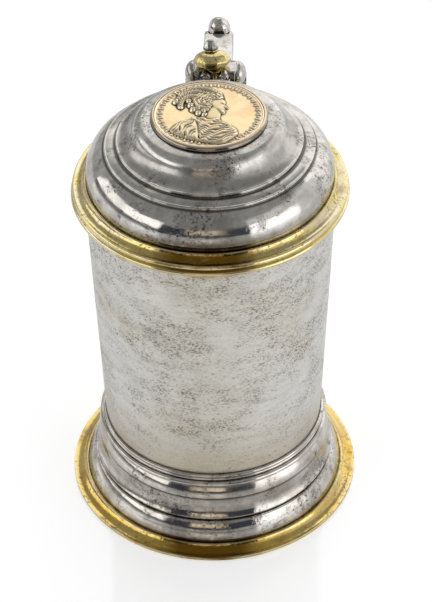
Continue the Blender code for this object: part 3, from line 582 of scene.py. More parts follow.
def worn_fire_gilding(name, gold="#e8c768", deep="#b3862f", worn="#dfcfa6", wear=0.8, wear_and_highlight_share=0.45):
    """Gold laid on silver with mercury and fire, and rubbed by use.

    It gives a soft pale gold, deeper in patches, browned by dirt in its grooves and rubbed pale on its edges.
    Painted shade browns it in front and next to its inner crease, and a painted highlight pales it at its
    sides; on a piece with no front mark that pale coat lies in worn patches all over.
    """
    material, tree, shader, place, groove, painted_shade, front = new_finish(name, "groove", "painted_shade", "front")
    along = node(tree, "UVMap", uv_map="along")["UV"]
    rubbed = node(tree, "Mapping", {"Vector": along, "Scale": (0.25, 1, 1)})[0]
    rub = clouds(tree, rubbed, 3.0, 0.30, 0.60, detail=5)
    mottled = clouds(tree, place, 7, 0.35, 0.7, detail=6)
    brown = clouds(tree, place, 13, 0.52, 0.72, detail=6)
    aside = node(tree, "MapRange", {"Value": front, "From Min": 0.7, "From Max": 0.2})[0]
    wear_and_highlight_patches = clouds(tree, rubbed, 5.0, 0.38, 0.62, detail=6)
    front_shade_patches = clouds(tree, rubbed, 6.0, 0.20, 0.42, detail=5)
    painted_front_shade = node(tree, "MapRange", {"Value": front, "From Min": 0.68, "From Max": 0.90})[0]
    shade_streaks = clouds(tree, rubbed, 4.0, 0.32, 0.58)
    grit = clouds(tree, place, 1.2, 0.56, 0.63, detail=3)
    fields = clouds(tree, place, 11, 0.42, 0.60, detail=4)
    specks = node(tree, "Math", {0: grit, 1: fields}, operation="MULTIPLY")[0]
    bare = node(tree, "MapRange", {"Value": groove, "From Min": -0.5, "From Max": -2.6, "To Max": wear})[0]
    dirt = node(tree, "MapRange", {"Value": groove, "From Min": 0.4, "From Max": 2.6})[0]
    colour = coats(
        tree,
        linear(gold),
        (0.55, deep, mottled),
        (0.5, "#86683a", brown),
        # Painted highlight: pale gold at the sides, away from the front; on pieces with no front mark, pale
        # worn patches all over
        (wear_and_highlight_share, worn, wear_and_highlight_patches, aside),
        # Painted shade: the gilding browned where it faces front, in patches
        (1.0, "#83601c", painted_front_shade, front_shade_patches),
        (1.0, "#e6d8a8", bare, rub),
        (0.4, "#553d16", dirt),
        # Painted shade: a brown coat next to the inner crease where the piece's shade mark says so
        (0.25, "#5a4018", painted_shade, shade_streaks),
        (0.6, "#5a4520", specks),
    )
    dull = node(tree, "Math", {0: brown, 1: dirt}, operation="ADD")[0]
    rough = {"Value": dull, "From Max": 1.4, "To Min": 0.13, "To Max": 0.36}
    dress(tree, shader, colour, rough)
    slopes(tree, shader, (clouds(tree, place, 9, 0.2, 0.8, detail=3), 0.14), (specks, -0.04))
    return material


def medal_gilding(name):
    """A struck and gilt medal, handled for centuries.

    It gives a rosy gold ground, relief rubbed to grey silver on its heights, and brown soil round every edge.
    """
    material, tree, shader, place, groove, relief = new_finish(name, "groove", "relief")
    mottled = clouds(tree, place, 5, 0.35, 0.7, detail=5)
    blush = clouds(tree, place, 12, 0.45, 0.65)
    raised = node(tree, "MapRange", {"Value": relief, "From Min": 0.12, "From Max": 0.45})[0]
    rubbed = node(tree, "MapRange", {"Value": groove, "From Min": -0.4, "From Max": -2.0})[0]
    soiled = node(tree, "MapRange", {"Value": groove, "From Min": 0.35, "From Max": 2.0})[0]
    colour = coats(
        tree,
        linear("#f4dfb2"),
        (0.35, "#e6c78c", mottled),
        (0.45, "#e6b58d", blush),
        (0.5, "#c9b894", raised),
        (0.85, "#f6eede", rubbed),
        (0.94, "#2a1e14", soiled),
    )
    rough = {"Value": groove, "From Min": -0.5, "From Max": 1.5, "To Min": 0.24, "To Max": 0.5}
    dress(tree, shader, colour, rough)
    slopes(tree, shader, (clouds(tree, place, 3, 0.2, 0.8), 0.012))
    return material


def drum_radius(height):
    """The drum's outer radius at a height: a straight taper."""
    share = (height - DRUM_FOOT) / (DRUM_TOP - DRUM_FOOT)
    return DRUM_BOTTOM_RADIUS + share * (DRUM_TOP_RADIUS - DRUM_BOTTOM_RADIUS)


def foot_flange_line():
    """Gilt base ring: flat seat, low bead, hollow slope, upright edge and the flat rest face under it."""
    return outline(
        [(FOOT_SEAT, FOOT_TOP)],
        bowed((FOOT_BEAD, FOOT_TOP), (FOOT_SLOPE_TOP, FOOT_TOP), FOOT_BEAD_RISE, 8),
        bowed((FOOT_SLOPE_TOP, FOOT_TOP), (FOOT_RADIUS, FOOT_EDGE), -FOOT_HOLLOW, 12),
        [(FOOT_RADIUS, FOOT_ROUND), (FOOT_RADIUS - FOOT_ROUND, 0), (FOOT_RIM, 0), (FOOT_RIM, FOOT_EDGE)],
        [(FOOT_SEAT, FOOT_TOP - FOOT_EDGE)],
    )


def foot_skirt_line():
    """Silver skirt: ledge, bead, hollow, fillet over a crease, and a roll that stands on the gilt ring."""
    foot = SKIRT_ROLL_FOOT[0] - SKIRT_WALL
    bead = SKIRT_BEAD_TOP[0] - SKIRT_WALL
    under = SKIRT_TOP - SKIRT_WALL
    bead_upper, bead_lower = SKIRT_BEAD_BOWS
    roll_upper, roll_middle, roll_lower = SKIRT_ROLL_BOWS
    return outline(
        bowed((SKIRT_LEDGE, SKIRT_TOP), SKIRT_BEAD_TOP, 0, 4),
        bowed(SKIRT_BEAD_TOP, SKIRT_BEAD_EDGE, bead_upper, 10),
        bowed(SKIRT_BEAD_EDGE, SKIRT_BEAD_FOOT, bead_lower, 5),
        bowed(SKIRT_BEAD_FOOT, SKIRT_HOLLOW, 0, 3),
        bowed(SKIRT_HOLLOW, SKIRT_FILLET, -SKIRT_HOLLOW_BOW, 10),
        bowed(SKIRT_FILLET, SKIRT_CREASE, SKIRT_CREASE_BOW, 6),
        bowed(SKIRT_CREASE, SKIRT_ROLL_TOP, roll_upper, 4),
        bowed(SKIRT_ROLL_TOP, SKIRT_ROLL_MIDDLE, roll_middle, 10),
        bowed(SKIRT_ROLL_MIDDLE, SKIRT_ROLL_FOOT, roll_lower, 8),
        [(foot, SKIRT_FOOT), (foot, SKIRT_FOOT + SKIRT_LINING)],
        [(SKIRT_CREASE[0] - SKIRT_WALL, SKIRT_CREASE[1])],
        [(bead, SKIRT_BEAD_FOOT[1]), (bead, under), (SKIRT_LEDGE, under)],
    )


def round_wire_line():
    """The round section of the lower drawn wire, against the drum."""
    centre = drum_radius(WIRE_HEIGHT + WIRE_RADIUS) + GAP + WIRE_RADIUS
    turn = -TAU * np.arange(18) / 18
    return np.stack([centre + WIRE_RADIUS * np.cos(turn), WIRE_HEIGHT + WIRE_RADIUS * np.sin(turn)], axis=1)


def threaded_wire_line():
    """The section of the upper drawn wire: two round threads, one over the other, on a flat back."""
    middle = THREAD_FOOT + 2 * THREAD_RADIUS
    top = middle + 2 * THREAD_RADIUS
    back = drum_radius(top) + GAP
    root = back + THREAD_BACK
    return outline(
        [(back, top)],
        bowed((root, top), (root, middle), THREAD_RADIUS, 10),
        bowed((root, middle), (root, THREAD_FOOT), THREAD_RADIUS, 10),
        [(back, THREAD_FOOT)],
    )


def drum_line():
    """The drum's wall: rounded lip, straight taper outside and inside."""
    top_inner = DRUM_TOP_RADIUS - DRUM_WALL
    bottom_inner = DRUM_BOTTOM_RADIUS - DRUM_WALL
    return outline(
        [(DRUM_TOP_RADIUS - LIP_ROUND, DRUM_TOP)],
        bowed((DRUM_TOP_RADIUS, DRUM_TOP - LIP_ROUND), (DRUM_BOTTOM_RADIUS, DRUM_FOOT), 0, 40),
        bowed((bottom_inner, DRUM_FOOT), (top_inner, DRUM_TOP - LIP_ROUND), 0, 20),
        [(top_inner + LIP_ROUND, DRUM_TOP)],
    )


def lid_flange_line():
    """Gilt flange: seat, low bead, hollow slope, and an edge of two beads with a groove between them."""
    upper_foot = FLANGE_EDGE_TOP - FLANGE_BEAD
    lower_top = upper_foot - FLANGE_GROOVE
    inner = FLANGE_LOWER - FLANGE_WALL
    return outline(
        [(FLANGE_SEAT, FLANGE_TOP)],
        bowed((FLANGE_INNER_BEAD, FLANGE_TOP), (FLANGE_SLOPE_TOP, FLANGE_TOP), FLANGE_BEAD_RISE, 6),
        bowed((FLANGE_SLOPE_TOP, FLANGE_TOP), (FLANGE_UPPER, FLANGE_EDGE_TOP), -FLANGE_HOLLOW, 12),
        bowed((FLANGE_UPPER, FLANGE_EDGE_TOP), (FLANGE_UPPER, upper_foot), FLANGE_BULGE, 10),
        bowed((FLANGE_LOWER, lower_top), (FLANGE_LOWER, LID_SEAT), FLANGE_BULGE, 10),
        [(inner, LID_SEAT), (inner, LID_SEAT + FLANGE_REBATE)],
        [(FLANGE_SLOPE_TOP, FLANGE_TOP - FLANGE_WALL), (FLANGE_SEAT, FLANGE_TOP - FLANGE_WALL)],
    )


def dome_line():
    """Silver shell: ledge under the medal, ogee dome, two steps round a sunk band, and the large torus."""
    step_foot = (BAND_TOP[0], DOME_EDGE[1] - STEP_DROP)
    outer_foot = (TORUS_TOP[0], BAND_EDGE[1] - STEP_DROP)
    torus, band, edge = (np.array(spot) - DOME_WALL for spot in (TORUS_TOP, BAND_TOP, DOME_EDGE))
    shoulder = np.array(DOME_SHOULDER) - (DOME_WALL, SHOULDER_DROP)
    return outline(
        bowed((MEDAL_HOLE, DOME_TOP), (COLLAR_RADIUS, DOME_TOP), 0, 3),
        [DOME_RING],
        bowed(DOME_RING, DOME_SHOULDER, DOME_BOW, 10),
        bowed(DOME_SHOULDER, DOME_EDGE, -OGEE_BOW, 12),
        bowed(DOME_EDGE, step_foot, STEP_BOW, 4),
        bowed(BAND_TOP, BAND_EDGE, BAND_BOW, 4),
        bowed(BAND_EDGE, outer_foot, STEP_BOW, 4),
        bowed(TORUS_TOP, DOME_FOOT, TORUS_BOW, 20),
        bowed(np.array(DOME_FOOT) - (DOME_WALL, 0), torus, -TORUS_BOW, 8),
        [band, edge],
        bowed(edge, shoulder, OGEE_BOW, 6),
        bowed(shoulder, np.array(DOME_RING) - (0, DOME_WALL), -DOME_BOW, 6),
        [(MEDAL_HOLE, DOME_TOP - DOME_WALL)],
    )


def bezel_line():
    """The washer that closes the flange from below and the tapered ring that drops into the drum."""
    washer = FLANGE_LOWER - FLANGE_WALL - GAP
    top = DRUM_TOP_RADIUS - DRUM_WALL - BEZEL_PLAY
    foot = top - BEZEL_TAPER
    upper = LID_SEAT + BEZEL_WASHER
    lower = LID_SEAT - BEZEL_DROP
    return outline(
        [(top - BEZEL_WALL, upper), (washer, upper), (washer, LID_SEAT), (top, LID_SEAT)],
        [(foot, lower), (foot - BEZEL_WALL, lower)],
    )


def collar_line():
    """The moulded ring that holds the medal: flat top, bowed outer slope and a thin foot."""
    inner = MEDAL_RADIUS + MEDAL_SEAM
    return outline(
        [(inner, COLLAR_TOP), (COLLAR_TOP_RADIUS, COLLAR_TOP)],
        bowed((COLLAR_TOP_RADIUS, COLLAR_TOP), (COLLAR_RADIUS, MEDAL_FOOT + COLLAR_FOOT), COLLAR_BOW, 6),
        [(COLLAR_RADIUS, MEDAL_FOOT), (inner, MEDAL_FOOT)],
    )


def domed_oval(x, y, centre, radii):
    """Height of a half egg: the root of one less the squared distance from its centre, in its radii."""
    across = (x - centre[0]) / radii[0]
    up = (y - centre[1]) / radii[1]
    return np.sqrt(np.clip(1 - across**2 - up**2, 0, None))


def bell(x, y, centre, width, tall=None):
    """A round or oval bell-shaped swelling of height one."""
    return np.exp(-(((x - centre[0]) / width) ** 2) - ((y - centre[1]) / (tall or width)) ** 2)


def beside_line(x, y, first, side):
    """The share of a straight side that is nearest to each place, and the way from there to the place."""
    share = np.clip(((x - first[0]) * side[0] + (y - first[1]) * side[1]) / (side @ side + 1e-12), 0, 1)
    return share, x - first[0] - side[0] * share, y - first[1] - side[1] * share


def depth_inside(x, y, corners):
    """Distance from the nearest side of a closed outline, plus inside it and minus outside it."""
    nearest = np.full(x.shape, 1e9)
    within = np.zeros(x.shape, bool)
    for first, last in zip(corners, np.roll(corners, -1, axis=0)):
        side = last - first
        nearest = np.minimum(nearest, np.hypot(*beside_line(x, y, first, side)[1:]))
        if side[1]:
            crosses = (first[1] > y) != (last[1] > y)
            within ^= crosses & (x < first[0] + side[0] * (y - first[1]) / side[1])
    return np.where(within, nearest, -nearest)


def strand(x, y, points, width_start, width_end):
    """A lock, plume or fold along a smooth line: its rounded height, and the place along it and beside it."""
    line = flowing(points, 6, closed=False)
    station = stations(line)
    best = np.full(x.shape, 1e9)
    along = np.zeros(x.shape)
    beside = np.zeros(x.shape)
    for index in range(len(line) - 1):
        first = line[index]
        side = line[index + 1] - first
        length = math.hypot(*side)
        share, off_x, off_y = beside_line(x, y, first, side)
        gap = np.hypot(off_x, off_y)
        nearer = gap < best
        best = np.where(nearer, gap, best)
        along = np.where(nearer, station[index] + share * length, along)
        beside = np.where(nearer, (side[0] * off_y - side[1] * off_x) / length, beside)
    width = width_start + (width_end - width_start) * along / station[-1]
    return np.sqrt(np.clip(1 - (best / width) ** 2, 0, None)), along, beside


HEAD = flowing(
    [
        (3.7, 10.9), (4.75, 9.7), (5.0, 8.4), (4.85, 7.5), (5.4, 6.3), (6.15, 5.0), (5.9, 4.55), (5.2, 4.4),
        (5.2, 4.0), (5.5, 3.75), (5.15, 3.45), (5.4, 3.1), (4.95, 2.75), (5.05, 2.1), (4.6, 1.4), (3.5, 1.2),
        (1.6, 2.2), (0.4, 3.4), (-0.8, 5.5), (-4.0, 7.0), (-4.4, 9.5), (-2.5, 11.8), (1.0, 12.3),
    ],
    4,
)
HAIR = flowing(
    [
        (4.3, 10.7), (3.4, 12.7), (0.6, 14.0), (-3.4, 14.2), (-6.6, 12.9), (-7.7, 10.2), (-7.2, 7.2),
        (-5.8, 4.6), (-3.6, 2.8), (-1.7, 2.2), (-0.3, 3.6), (0.4, 5.6), (1.1, 7.7), (2.4, 9.5),
    ],
    4,
)
BUST = flowing(
    [
        (-3.2, -0.4), (-6.5, -1.7), (-10.6, -3.2), (-13.5, -6.0), (-14.6, -9.4), (-12.6, -11.6),
        (-9.0, -13.8), (-4.0, -15.7), (1.5, -16.8), (5.5, -16.2), (8.2, -13.6), (9.9, -10.6),
        (9.2, -7.2), (6.0, -4.2), (3.6, -2.4), (2.8, -0.8),
    ],
    4,
)
PLUMES = (
    ((1.8, 13.4), (-2.6, 16.4), (-7.6, 16.2), (-11.6, 12.9)),
    ((-2.0, 13.2), (-6.6, 14.6), (-10.8, 12.2), (-12.9, 8.4)),
    ((-4.6, 11.6), (-8.6, 11.6), (-11.2, 8.9), (-11.4, 5.6)),
)
CURLS = (
    (-11.3, 12.2, 1.5), (-13.0, 8.0, 1.4), (-11.2, 5.2, 1.2), (-7.6, 6.2, 1.5), (-6.6, 3.6, 1.5),
    (-4.6, 1.6, 1.4), (-2.4, 0.5, 1.3), (-4.9, 4.4, 1.3), (-2.9, 2.9, 1.2), (-8.4, 8.8, 1.3),
    (2.9, 12.2, 1.0),
)
BUST_SCALE = 1.15
BUST_MIDDLE = (1.0, -1.7)
RING_MIDDLE = 20.3
RING_UNITS = 40
RING_RISE = 0.42


def bust_relief(x, y):
    """Height of a draped bust in profile with dressed hair and plumes, in millimetres over its ground.

    It is put together from rounded outlines, ridged locks and folds, on textbook proportions.
    """
    bust = depth_inside(x, y, BUST)
    body = np.where(bust > 0, 0.78 * (1 - np.exp(-bust / 1.5)), 0)
    warp = 0.5 * np.sin(0.8 * x + 0.5 * y) + 0.3 * np.sin(1.7 * x - 0.9 * y + 1.0)
    sag = y - 0.075 * (x - 1.5) ** 2 + warp
    slant = 0.9 * x - 0.55 * y + 1.5 * warp
    to_chest = np.clip((x + 5.2) / 1.2, 0, 1)
    fold = to_chest * sag / 1.55 + (1 - to_chest) * slant / 1.8
    depth = 0.65 + 0.35 * np.sin(0.9 * x - 1.3 * y)
    folds = 1 - depth * (1 - np.abs(np.sin(math.pi * fold)) ** 0.7)
    body += np.where(bust > 0, 0.6 * np.clip(bust / 0.9, 0, 1) * folds, 0)
    seam = np.exp(-(((x + 4.5 + 0.12 * (y + 8)) / 0.5) ** 2))
    body = np.where(bust > 0, body * (1 - 0.3 * seam), 0)
    mantle = strand(x, y, ((-6.8, -1.6), (-4.6, -4.2), (-1.6, -5.8), (3.4, -5.0), (6.6, -6.4)), 1.0, 0.8)[0]
    body = np.maximum(body, np.where(bust > 0.1, mantle * 1.35, 0))
    body = np.maximum(body, 1.4 * domed_oval(x, y, (-6.3, -2.9), (1.5, 1.4)))
    neck = 0.8 * strand(x, y, ((-0.4, -3.6), (0.6, 0.4), (1.2, 3.6)), 3.0, 2.5)[0]

    head = depth_inside(x, y, HEAD)
    face = np.where(head > 0, 1.0 * (1 - np.exp(-head / 0.8)), 0)
    modelling = (
        0.16 * bell(x, y, (3.0, 4.6), 1.3)
        - 0.30 * bell(x, y, (4.05, 6.75), 0.75, 0.5)
        + 0.24 * domed_oval(x, y, (3.95, 6.65), (0.55, 0.27))
        + 0.16 * bell(x, y, (3.9, 7.65), 1.0, 0.25)
        - 0.22 * bell(x, y, (4.75, 3.45), 0.55, 0.16)
        - 0.16 * bell(x, y, (4.75, 4.5), 0.35, 0.3)
        + 0.12 * bell(x, y, (4.3, 2.0), 0.7)
    )
    face += np.where(head > 0.1, modelling, 0)

    hair = depth_inside(x, y, HAIR)
    swirl = np.hypot(x + 0.6, y - 8.2)
    turn = np.arctan2(y - 8.2, x + 0.6)
    wave = 0.45 * np.sin(3 * turn + 0.6) + 0.2 * np.sin(7 * turn + 1.6 * swirl)
    locks = np.abs(np.sin(math.pi * (swirl / 1.5 + wave + 0.8 * turn / math.pi)))
    locks = 0.75 * locks + 0.25 * np.abs(np.sin(math.pi * (swirl / 0.6 + 2.1 * wave)))
    mass = 0.92 * (1 - np.exp(-hair / 0.7)) + 0.5 * np.clip(hair / 0.6, 0, 1) * locks
    dressed = np.where(hair > 0, mass, 0)
    band = strand(x, y, ((3.6, 10.9), (2.4, 9.9), (0.2, 9.5), (-3.6, 10.2), (-7.0, 11.8)), 0.4, 0.5)[0]
    dressed = np.maximum(dressed, band * 1.45)

    height = np.maximum.reduce([body, neck, face, dressed])
    for points in PLUMES:
        plume, along, beside = strand(x, y, points, 1.9, 1.2)
        barbs = np.abs(np.sin(math.pi * (along - 1.1 * np.abs(beside)) / 1.3))
        quill = np.exp(-((beside / 0.25) ** 2))
        height = np.maximum(height, plume * (0.72 + 0.45 * barbs + 0.2 * quill))
    for across, up, size in CURLS:
        reach = np.hypot(x - across, y - up)
        spin = np.arctan2(y - up, x - across)
        coil = np.abs(np.sin(math.pi * reach / 0.95 + spin / 2))
        lock = domed_oval(x, y, (across, up), (size, size))
        height = np.maximum(height, lock * (0.72 + 0.6 * coil))
    return height


def medal_relief(x, y):
    """Height of the medal's relief over its ground: the bust, and a border of beads and leaves round it."""
    bust = BUST_SCALE * bust_relief((x - BUST_MIDDLE[0]) / BUST_SCALE, (y - BUST_MIDDLE[1]) / BUST_SCALE)
    reach = np.hypot(x, y) - RING_MIDDLE
    pitch = TAU * RING_MIDDLE / RING_UNITS
    unit = np.mod(np.arctan2(y, x) / TAU * RING_UNITS, 1) - 0.5
    beside = unit * pitch
    beyond = (np.mod(unit, 1) - 0.5) * pitch
    bead = domed_oval(beside, reach, (0, 0), (0.62, 0.62))
    leaf = domed_oval(beyond, reach, (0, 0), (0.55, 1.5))
    crossbar = domed_oval(beyond, reach, (0, 0.9), (0.95, 0.36))
    clear = np.clip((0.02 - bust) * 50, 0, 1)
    return np.maximum(bust, clear * RING_RISE * np.maximum.reduce([bead, leaf, crossbar]))


def medal_shape(turns=400, rings=216):
    """The medal as one closed surface: ground, raised rim, edge and flat back, with its grooves and relief.

    The relief is worked out on a fine square grid; its grooves are where it lies under its own blur.
    """
    side = np.arange(-MEDAL_RADIUS - 1, MEDAL_RADIUS + 1, RELIEF_PITCH)
    wave = np.fft.fftfreq(len(side), RELIEF_PITCH)
    spread = wave[:, None] ** 2 + wave[None, :] ** 2

    def blurred(values, reach):
        """Values on the grid under a bell-shaped blur of that reach."""
        return np.fft.ifft2(np.fft.fft2(values) * np.exp(-2 * (math.pi * reach) ** 2 * spread)).real

    sharp = medal_relief(*np.meshgrid(side, side))
    sunk = (blurred(sharp, GROOVE_BLUR) - sharp) * 10
    field = blurred(sharp, RELIEF_BLUR)

    ground = np.linspace(0, MEDAL_GROUND, rings)
    rim_top = MEDAL_FIELD + MEDAL_RIM_RISE
    edge = outline(
        [(MEDAL_RIM - MEDAL_RIM_RISE, MEDAL_FIELD), (MEDAL_RIM, rim_top)],
        [(MEDAL_RADIUS - MEDAL_CHAMFER, rim_top), (MEDAL_RADIUS, rim_top - MEDAL_CHAMFER)],
        [(MEDAL_RADIUS, MEDAL_FOOT), (MEDAL_RADIUS / 2, MEDAL_FOOT), (0, MEDAL_FOOT)],
    )
    edge = softened(edge, reach=0.15, closed=False)
    line = np.vstack([np.stack([ground, np.full(rings, MEDAL_FIELD)], axis=1), edge])
    spots, faces, corners, grooves = turned(line, closed=False, turns=turns, sway=0)
    count = rings * turns
    column = np.clip((spots[:count, 0] - side[0]) / RELIEF_PITCH, 0, len(side) - 2)
    row = np.clip((spots[:count, 1] - side[0]) / RELIEF_PITCH, 0, len(side) - 2)
    left = column.astype(int)
    low = row.astype(int)
    share_x = column - left
    share_y = row - low

    def read(values):
        """Values between grid points: the four corners weighed by their nearness."""
        lower = values[low, left] * (1 - share_x) + values[low, left + 1] * share_x
        upper = values[low + 1, left] * (1 - share_x) + values[low + 1, left + 1] * share_x
        return lower * (1 - share_y) + upper * share_y

    relief = np.zeros(len(spots))
    relief[:count] = read(field)
    grooves[:count] = read(sunk)
    spots[:, 2] += relief
    return (spots, faces, corners, grooves), relief


def knuckle_line():
    """Half outline of a domed knuckle, from the middle of its outer face to the middle of its inner face.

    The dome is a quarter of an oval that lies between an ellipse and its box.
    """
    turn = np.linspace(TAU / 4, 0, 18)
    oval = np.stack([np.cos(turn), np.sin(turn)], axis=1) ** KNUCKLE_FULLNESS
    dome = oval * (BARREL_RADIUS, KNUCKLE_WIDTH)
    return outline(dome, [(BARREL_RADIUS - KNUCKLE_ROUND, 0), (0, 0)])


def across_hinge(shape, sign):
    """A turned shape laid along X on the hinge's axis, beside the leaf, to the side that sign says."""
    spots, *rest = shape
    out = sign * (LEAF_WIDTH / 2 + GAP + spots[:, 2])
    return np.stack([out, HINGE_REACH + spots[:, 0], HINGE_HEIGHT + spots[:, 1]], axis=1), *rest


def carried(line, across, inset):
    """An outline in the handle's plane carried along X, drawn in by each place's inset, with closed ends."""
    before = line - np.roll(line, 1, axis=0)
    after = np.roll(line, -1, axis=0) - line
    along = before / np.hypot(*before.T)[:, None] + after / np.hypot(*after.T)[:, None]
    along /= np.hypot(*along.T)[:, None] + 1e-9
    out = np.stack([along[:, 1], -along[:, 0]], axis=1)
    if (line[:, 0] * np.roll(line[:, 1], -1) - np.roll(line[:, 0], -1) * line[:, 1]).sum() < 0:
        out = -out
    ring = line[None] - out[None] * inset[:, None, None]
    rows, columns = ring.shape[:2]
    spots = np.concatenate([np.broadcast_to(across[:, None, None], (rows, columns, 1)), ring], axis=2)
    return spots.reshape(-1, 3), capped_faces(rows, columns), None, np.zeros(rows * columns)


def slab_places(width, edge, count=6, steps=4):
    """Places across a slab, with insets that follow a quarter circle of radius edge at both ends."""
    turn = np.linspace(0, TAU / 4, steps + 1)
    rim = -width / 2 + edge * (1 - np.cos(turn))
    inset = edge * (1 - np.sin(turn))
    flat = np.linspace(-width / 2 + edge, width / 2 - edge, count)[1:-1]
    return np.r_[rim, flat, -rim[::-1]], np.r_[inset, 0 * flat, inset[::-1]]


def leaf_line():
    """The lid's half of the hinge from the side: toe on the flange, upright face and round middle knuckle."""
    foot = DOME_FOOT[1]
    turn = np.linspace(-TAU / 3, TAU / 4, 26)
    barrel = np.stack([np.cos(turn), np.sin(turn)], axis=1) * BARREL_RADIUS + (HINGE_REACH, HINGE_HEIGHT)
    return outline(
        [(LEAF_TOE, foot), (HINGE_REACH - LEAF_HEEL, foot)],
        barrel,
        bowed((LEAF_FACE, LEAF_TOP), (LEAF_FACE, foot + LEAF_FACE_RISE), 0, 8),
        [(LEAF_TOE, foot + LEAF_TOE_RISE)],
    )


def leaf_shape():
    """The leaf with its upright face sunk evenly between two raised edges."""
    spots, *rest = carried(softened(leaf_line(), reach=0.4), *slab_places(LEAF_WIDTH, LEAF_ROUND, 40))
    inside = 1 - ramp(np.abs(spots[:, 0]), LEAF_FRAME, LEAF_FRAME + LEAF_FRAME_SLOPE)
    face = ramp(spots[:, 1] - LEAF_FACE, *LEAF_SINK_RISE)
    spots[:, 1] += LEAF_SINK * inside * face
    return spots, *rest


def limb_shape():
    """The handle's limb: a faceted section carried down a cubic line, drawn in to a rounded hood at its head.

    The hood's width follows a quarter ellipse from its foot up to its top.
    """
    half = np.array([(1, LIMB_FACET), (LIMB_FACET, 1), (-LIMB_FACET, 1), (-1, LIMB_FACET)])
    corners = np.vstack([half, -half])
    section = softened(corners * (LIMB_WIDTH / 2, LIMB_DEPTH / 2), LIMB_ROUND, steps=4)
    start, upper, lower, end = np.array(LIMB_LINE)
    share = np.linspace(0, 1, 160)[:, None]
    rest = 1 - share
    point = start * rest**3 + 3 * upper * rest**2 * share + 3 * lower * rest * share**2 + end * share**3
    along = (upper - start) * rest**2 + 2 * (lower - upper) * rest * share + (end - lower) * share**2
    along /= np.hypot(*along.T)[:, None]
    turn = np.linspace(TAU / 4, 0, 16, endpoint=False)[:, None]
    centre = np.vstack([point[:1] - along[:1] * LIMB_HEAD * np.sin(turn), point])
    heading = np.vstack([np.repeat(along[:1], len(turn), axis=0), along])
    taper = np.vstack([np.ones_like(turn), 1 - share * (1 - LIMB_END_SHARE)])
    up = ramp(centre[:, 1:], HOOD_FOOT, centre[:1, 1:])
    scale = taper * np.sqrt(1 - up**2)
    across = scale * section[None, :, 0]
    rise = scale * section[None, :, 1]
    y = centre[:, :1] - heading[:, 1:] * rise
    z = centre[:, 1:] + heading[:, :1] * rise
    rows, columns = across.shape
    faces = grid_faces(rows, columns, False).tolist() + [list(range((rows - 1) * columns, rows * columns))]
    return np.stack([across, y, z], axis=-1).reshape(-1, 3), faces, None, np.zeros(rows * columns)


def lofted_facets(levels, edge):
    """Level rings of flat facets, with one to the front, through (radius, height) levels with softened steps.

    The whole tilts back over the handle and leans a little to the left.
    """
    turn = TAU * np.arange(FACET_SIDES) / FACET_SIDES
    ring = softened(np.stack([np.cos(turn), np.sin(turn)], axis=1), FACET_ROUND)
    line = softened(np.array(levels, float), edge, closed=False)
    x = line[:, :1] * ring[:, 0]
    back = line[:, :1] * ring[:, 1]
    up = line[:, 1:] * math.cos(THUMB_TILT) - back * math.sin(THUMB_TILT)
    y = line[:, 1:] * math.sin(THUMB_TILT) + back * math.cos(THUMB_TILT) + THUMB_PLACE[1]
    leaning = x * math.cos(THUMB_LEAN) - up * math.sin(THUMB_LEAN) + THUMB_PLACE[0]
    height = x * math.sin(THUMB_LEAN) + up * math.cos(THUMB_LEAN) + THUMB_PLACE[2]
    rows, columns = x.shape
    spots = np.stack([leaning, y, height], axis=-1).reshape(-1, 3)
    return spots, grid_faces(rows, columns, False), None, np.repeat(hollows(line, False, 0.6), columns)


def volute_shape(side):
    """A volute on the leaf's face: a round boss with a spiral ridge that winds in to an eye on its front."""
    reach = np.linspace(0.0, VOLUTE_RADIUS, 26)[:, None]
    turn = TAU * np.arange(VOLUTE_COLUMNS)[None, :] / VOLUTE_COLUMNS
    spiral = np.abs(np.sin(math.pi * reach / VOLUTE_PITCH + side * turn / 2))
    front = 1.0 + 0.7 * spiral * np.clip((VOLUTE_RADIUS - reach) / 0.4, 0.25, 1)
    eye = 1.1 + 0.6 * np.sqrt(np.clip(1 - (reach / VOLUTE_EYE) ** 2, 0, None))
    edge = np.array([[0.6], [-1.4], [-1.4]]) + 0 * turn
    away = np.vstack([np.maximum(front, eye), edge])
    wide = np.vstack([reach, [[VOLUTE_RADIUS], [VOLUTE_RADIUS], [0.0]]])
    across = side * VOLUTE_REACH + wide * np.cos(turn)
    height = LEAF_TOP - VOLUTE_BELOW_TOP + wide * np.sin(turn)
    spots = np.stack([across, LEAF_FACE - GAP - away, height], axis=-1)
    depth = np.vstack([(0.6 - spiral) * 1.2, 0 * edge])
    return spots.reshape(-1, 3), grid_faces(len(wide), VOLUTE_COLUMNS, False), None, depth.ravel()


SILVER = old_polished_silver("raised_silver_polished")
SILVER_FOOT = old_polished_silver("raised_silver_foot", clean="#d6d2ca", tarnish="#8a8174", shift=0.37)
SILVER_CAST = old_polished_silver("cast_silver_polished", clean="#cfccc6", tarnish="#8f8a83", shift=0.81)
SILVER_SET = old_polished_silver("soiled_silver_setting", clean="#9f9589", tarnish="#61584f", shift=0.55)
SILVER_PLATE = old_polished_silver("rubbed_silver_plate", clean="#dedbd5", tarnish="#a39e96", shift=0.2)
SILVER_DRUM = pitted_matte_silver("sheet_silver_pitted")
GILT = worn_fire_gilding("fire_gilding_worn")
GILT_LID = worn_fire_gilding("fire_gilding_thin", gold="#ecd88c", deep="#bd9a45", worn="#e6deca", wear_and_highlight_share=0.65)
GILT_CAST = worn_fire_gilding("fire_gilding_on_casting", gold="#dbc980", deep="#a8954c", wear=0.35, wear_and_highlight_share=0.7)
GILT_MEDAL = medal_gilding("struck_medal_gilt")


def girth(shape):
    """The distance of each of a shape's points from the axis."""
    return np.hypot(shape[0][:, 0], shape[0][:, 1])


def frontal(shape):
    """How far a turned shape faces front: the fourth power of the share of its radius that does."""
    return np.clip(-shape[0][:, 1] / girth(shape), 0, 1) ** 4


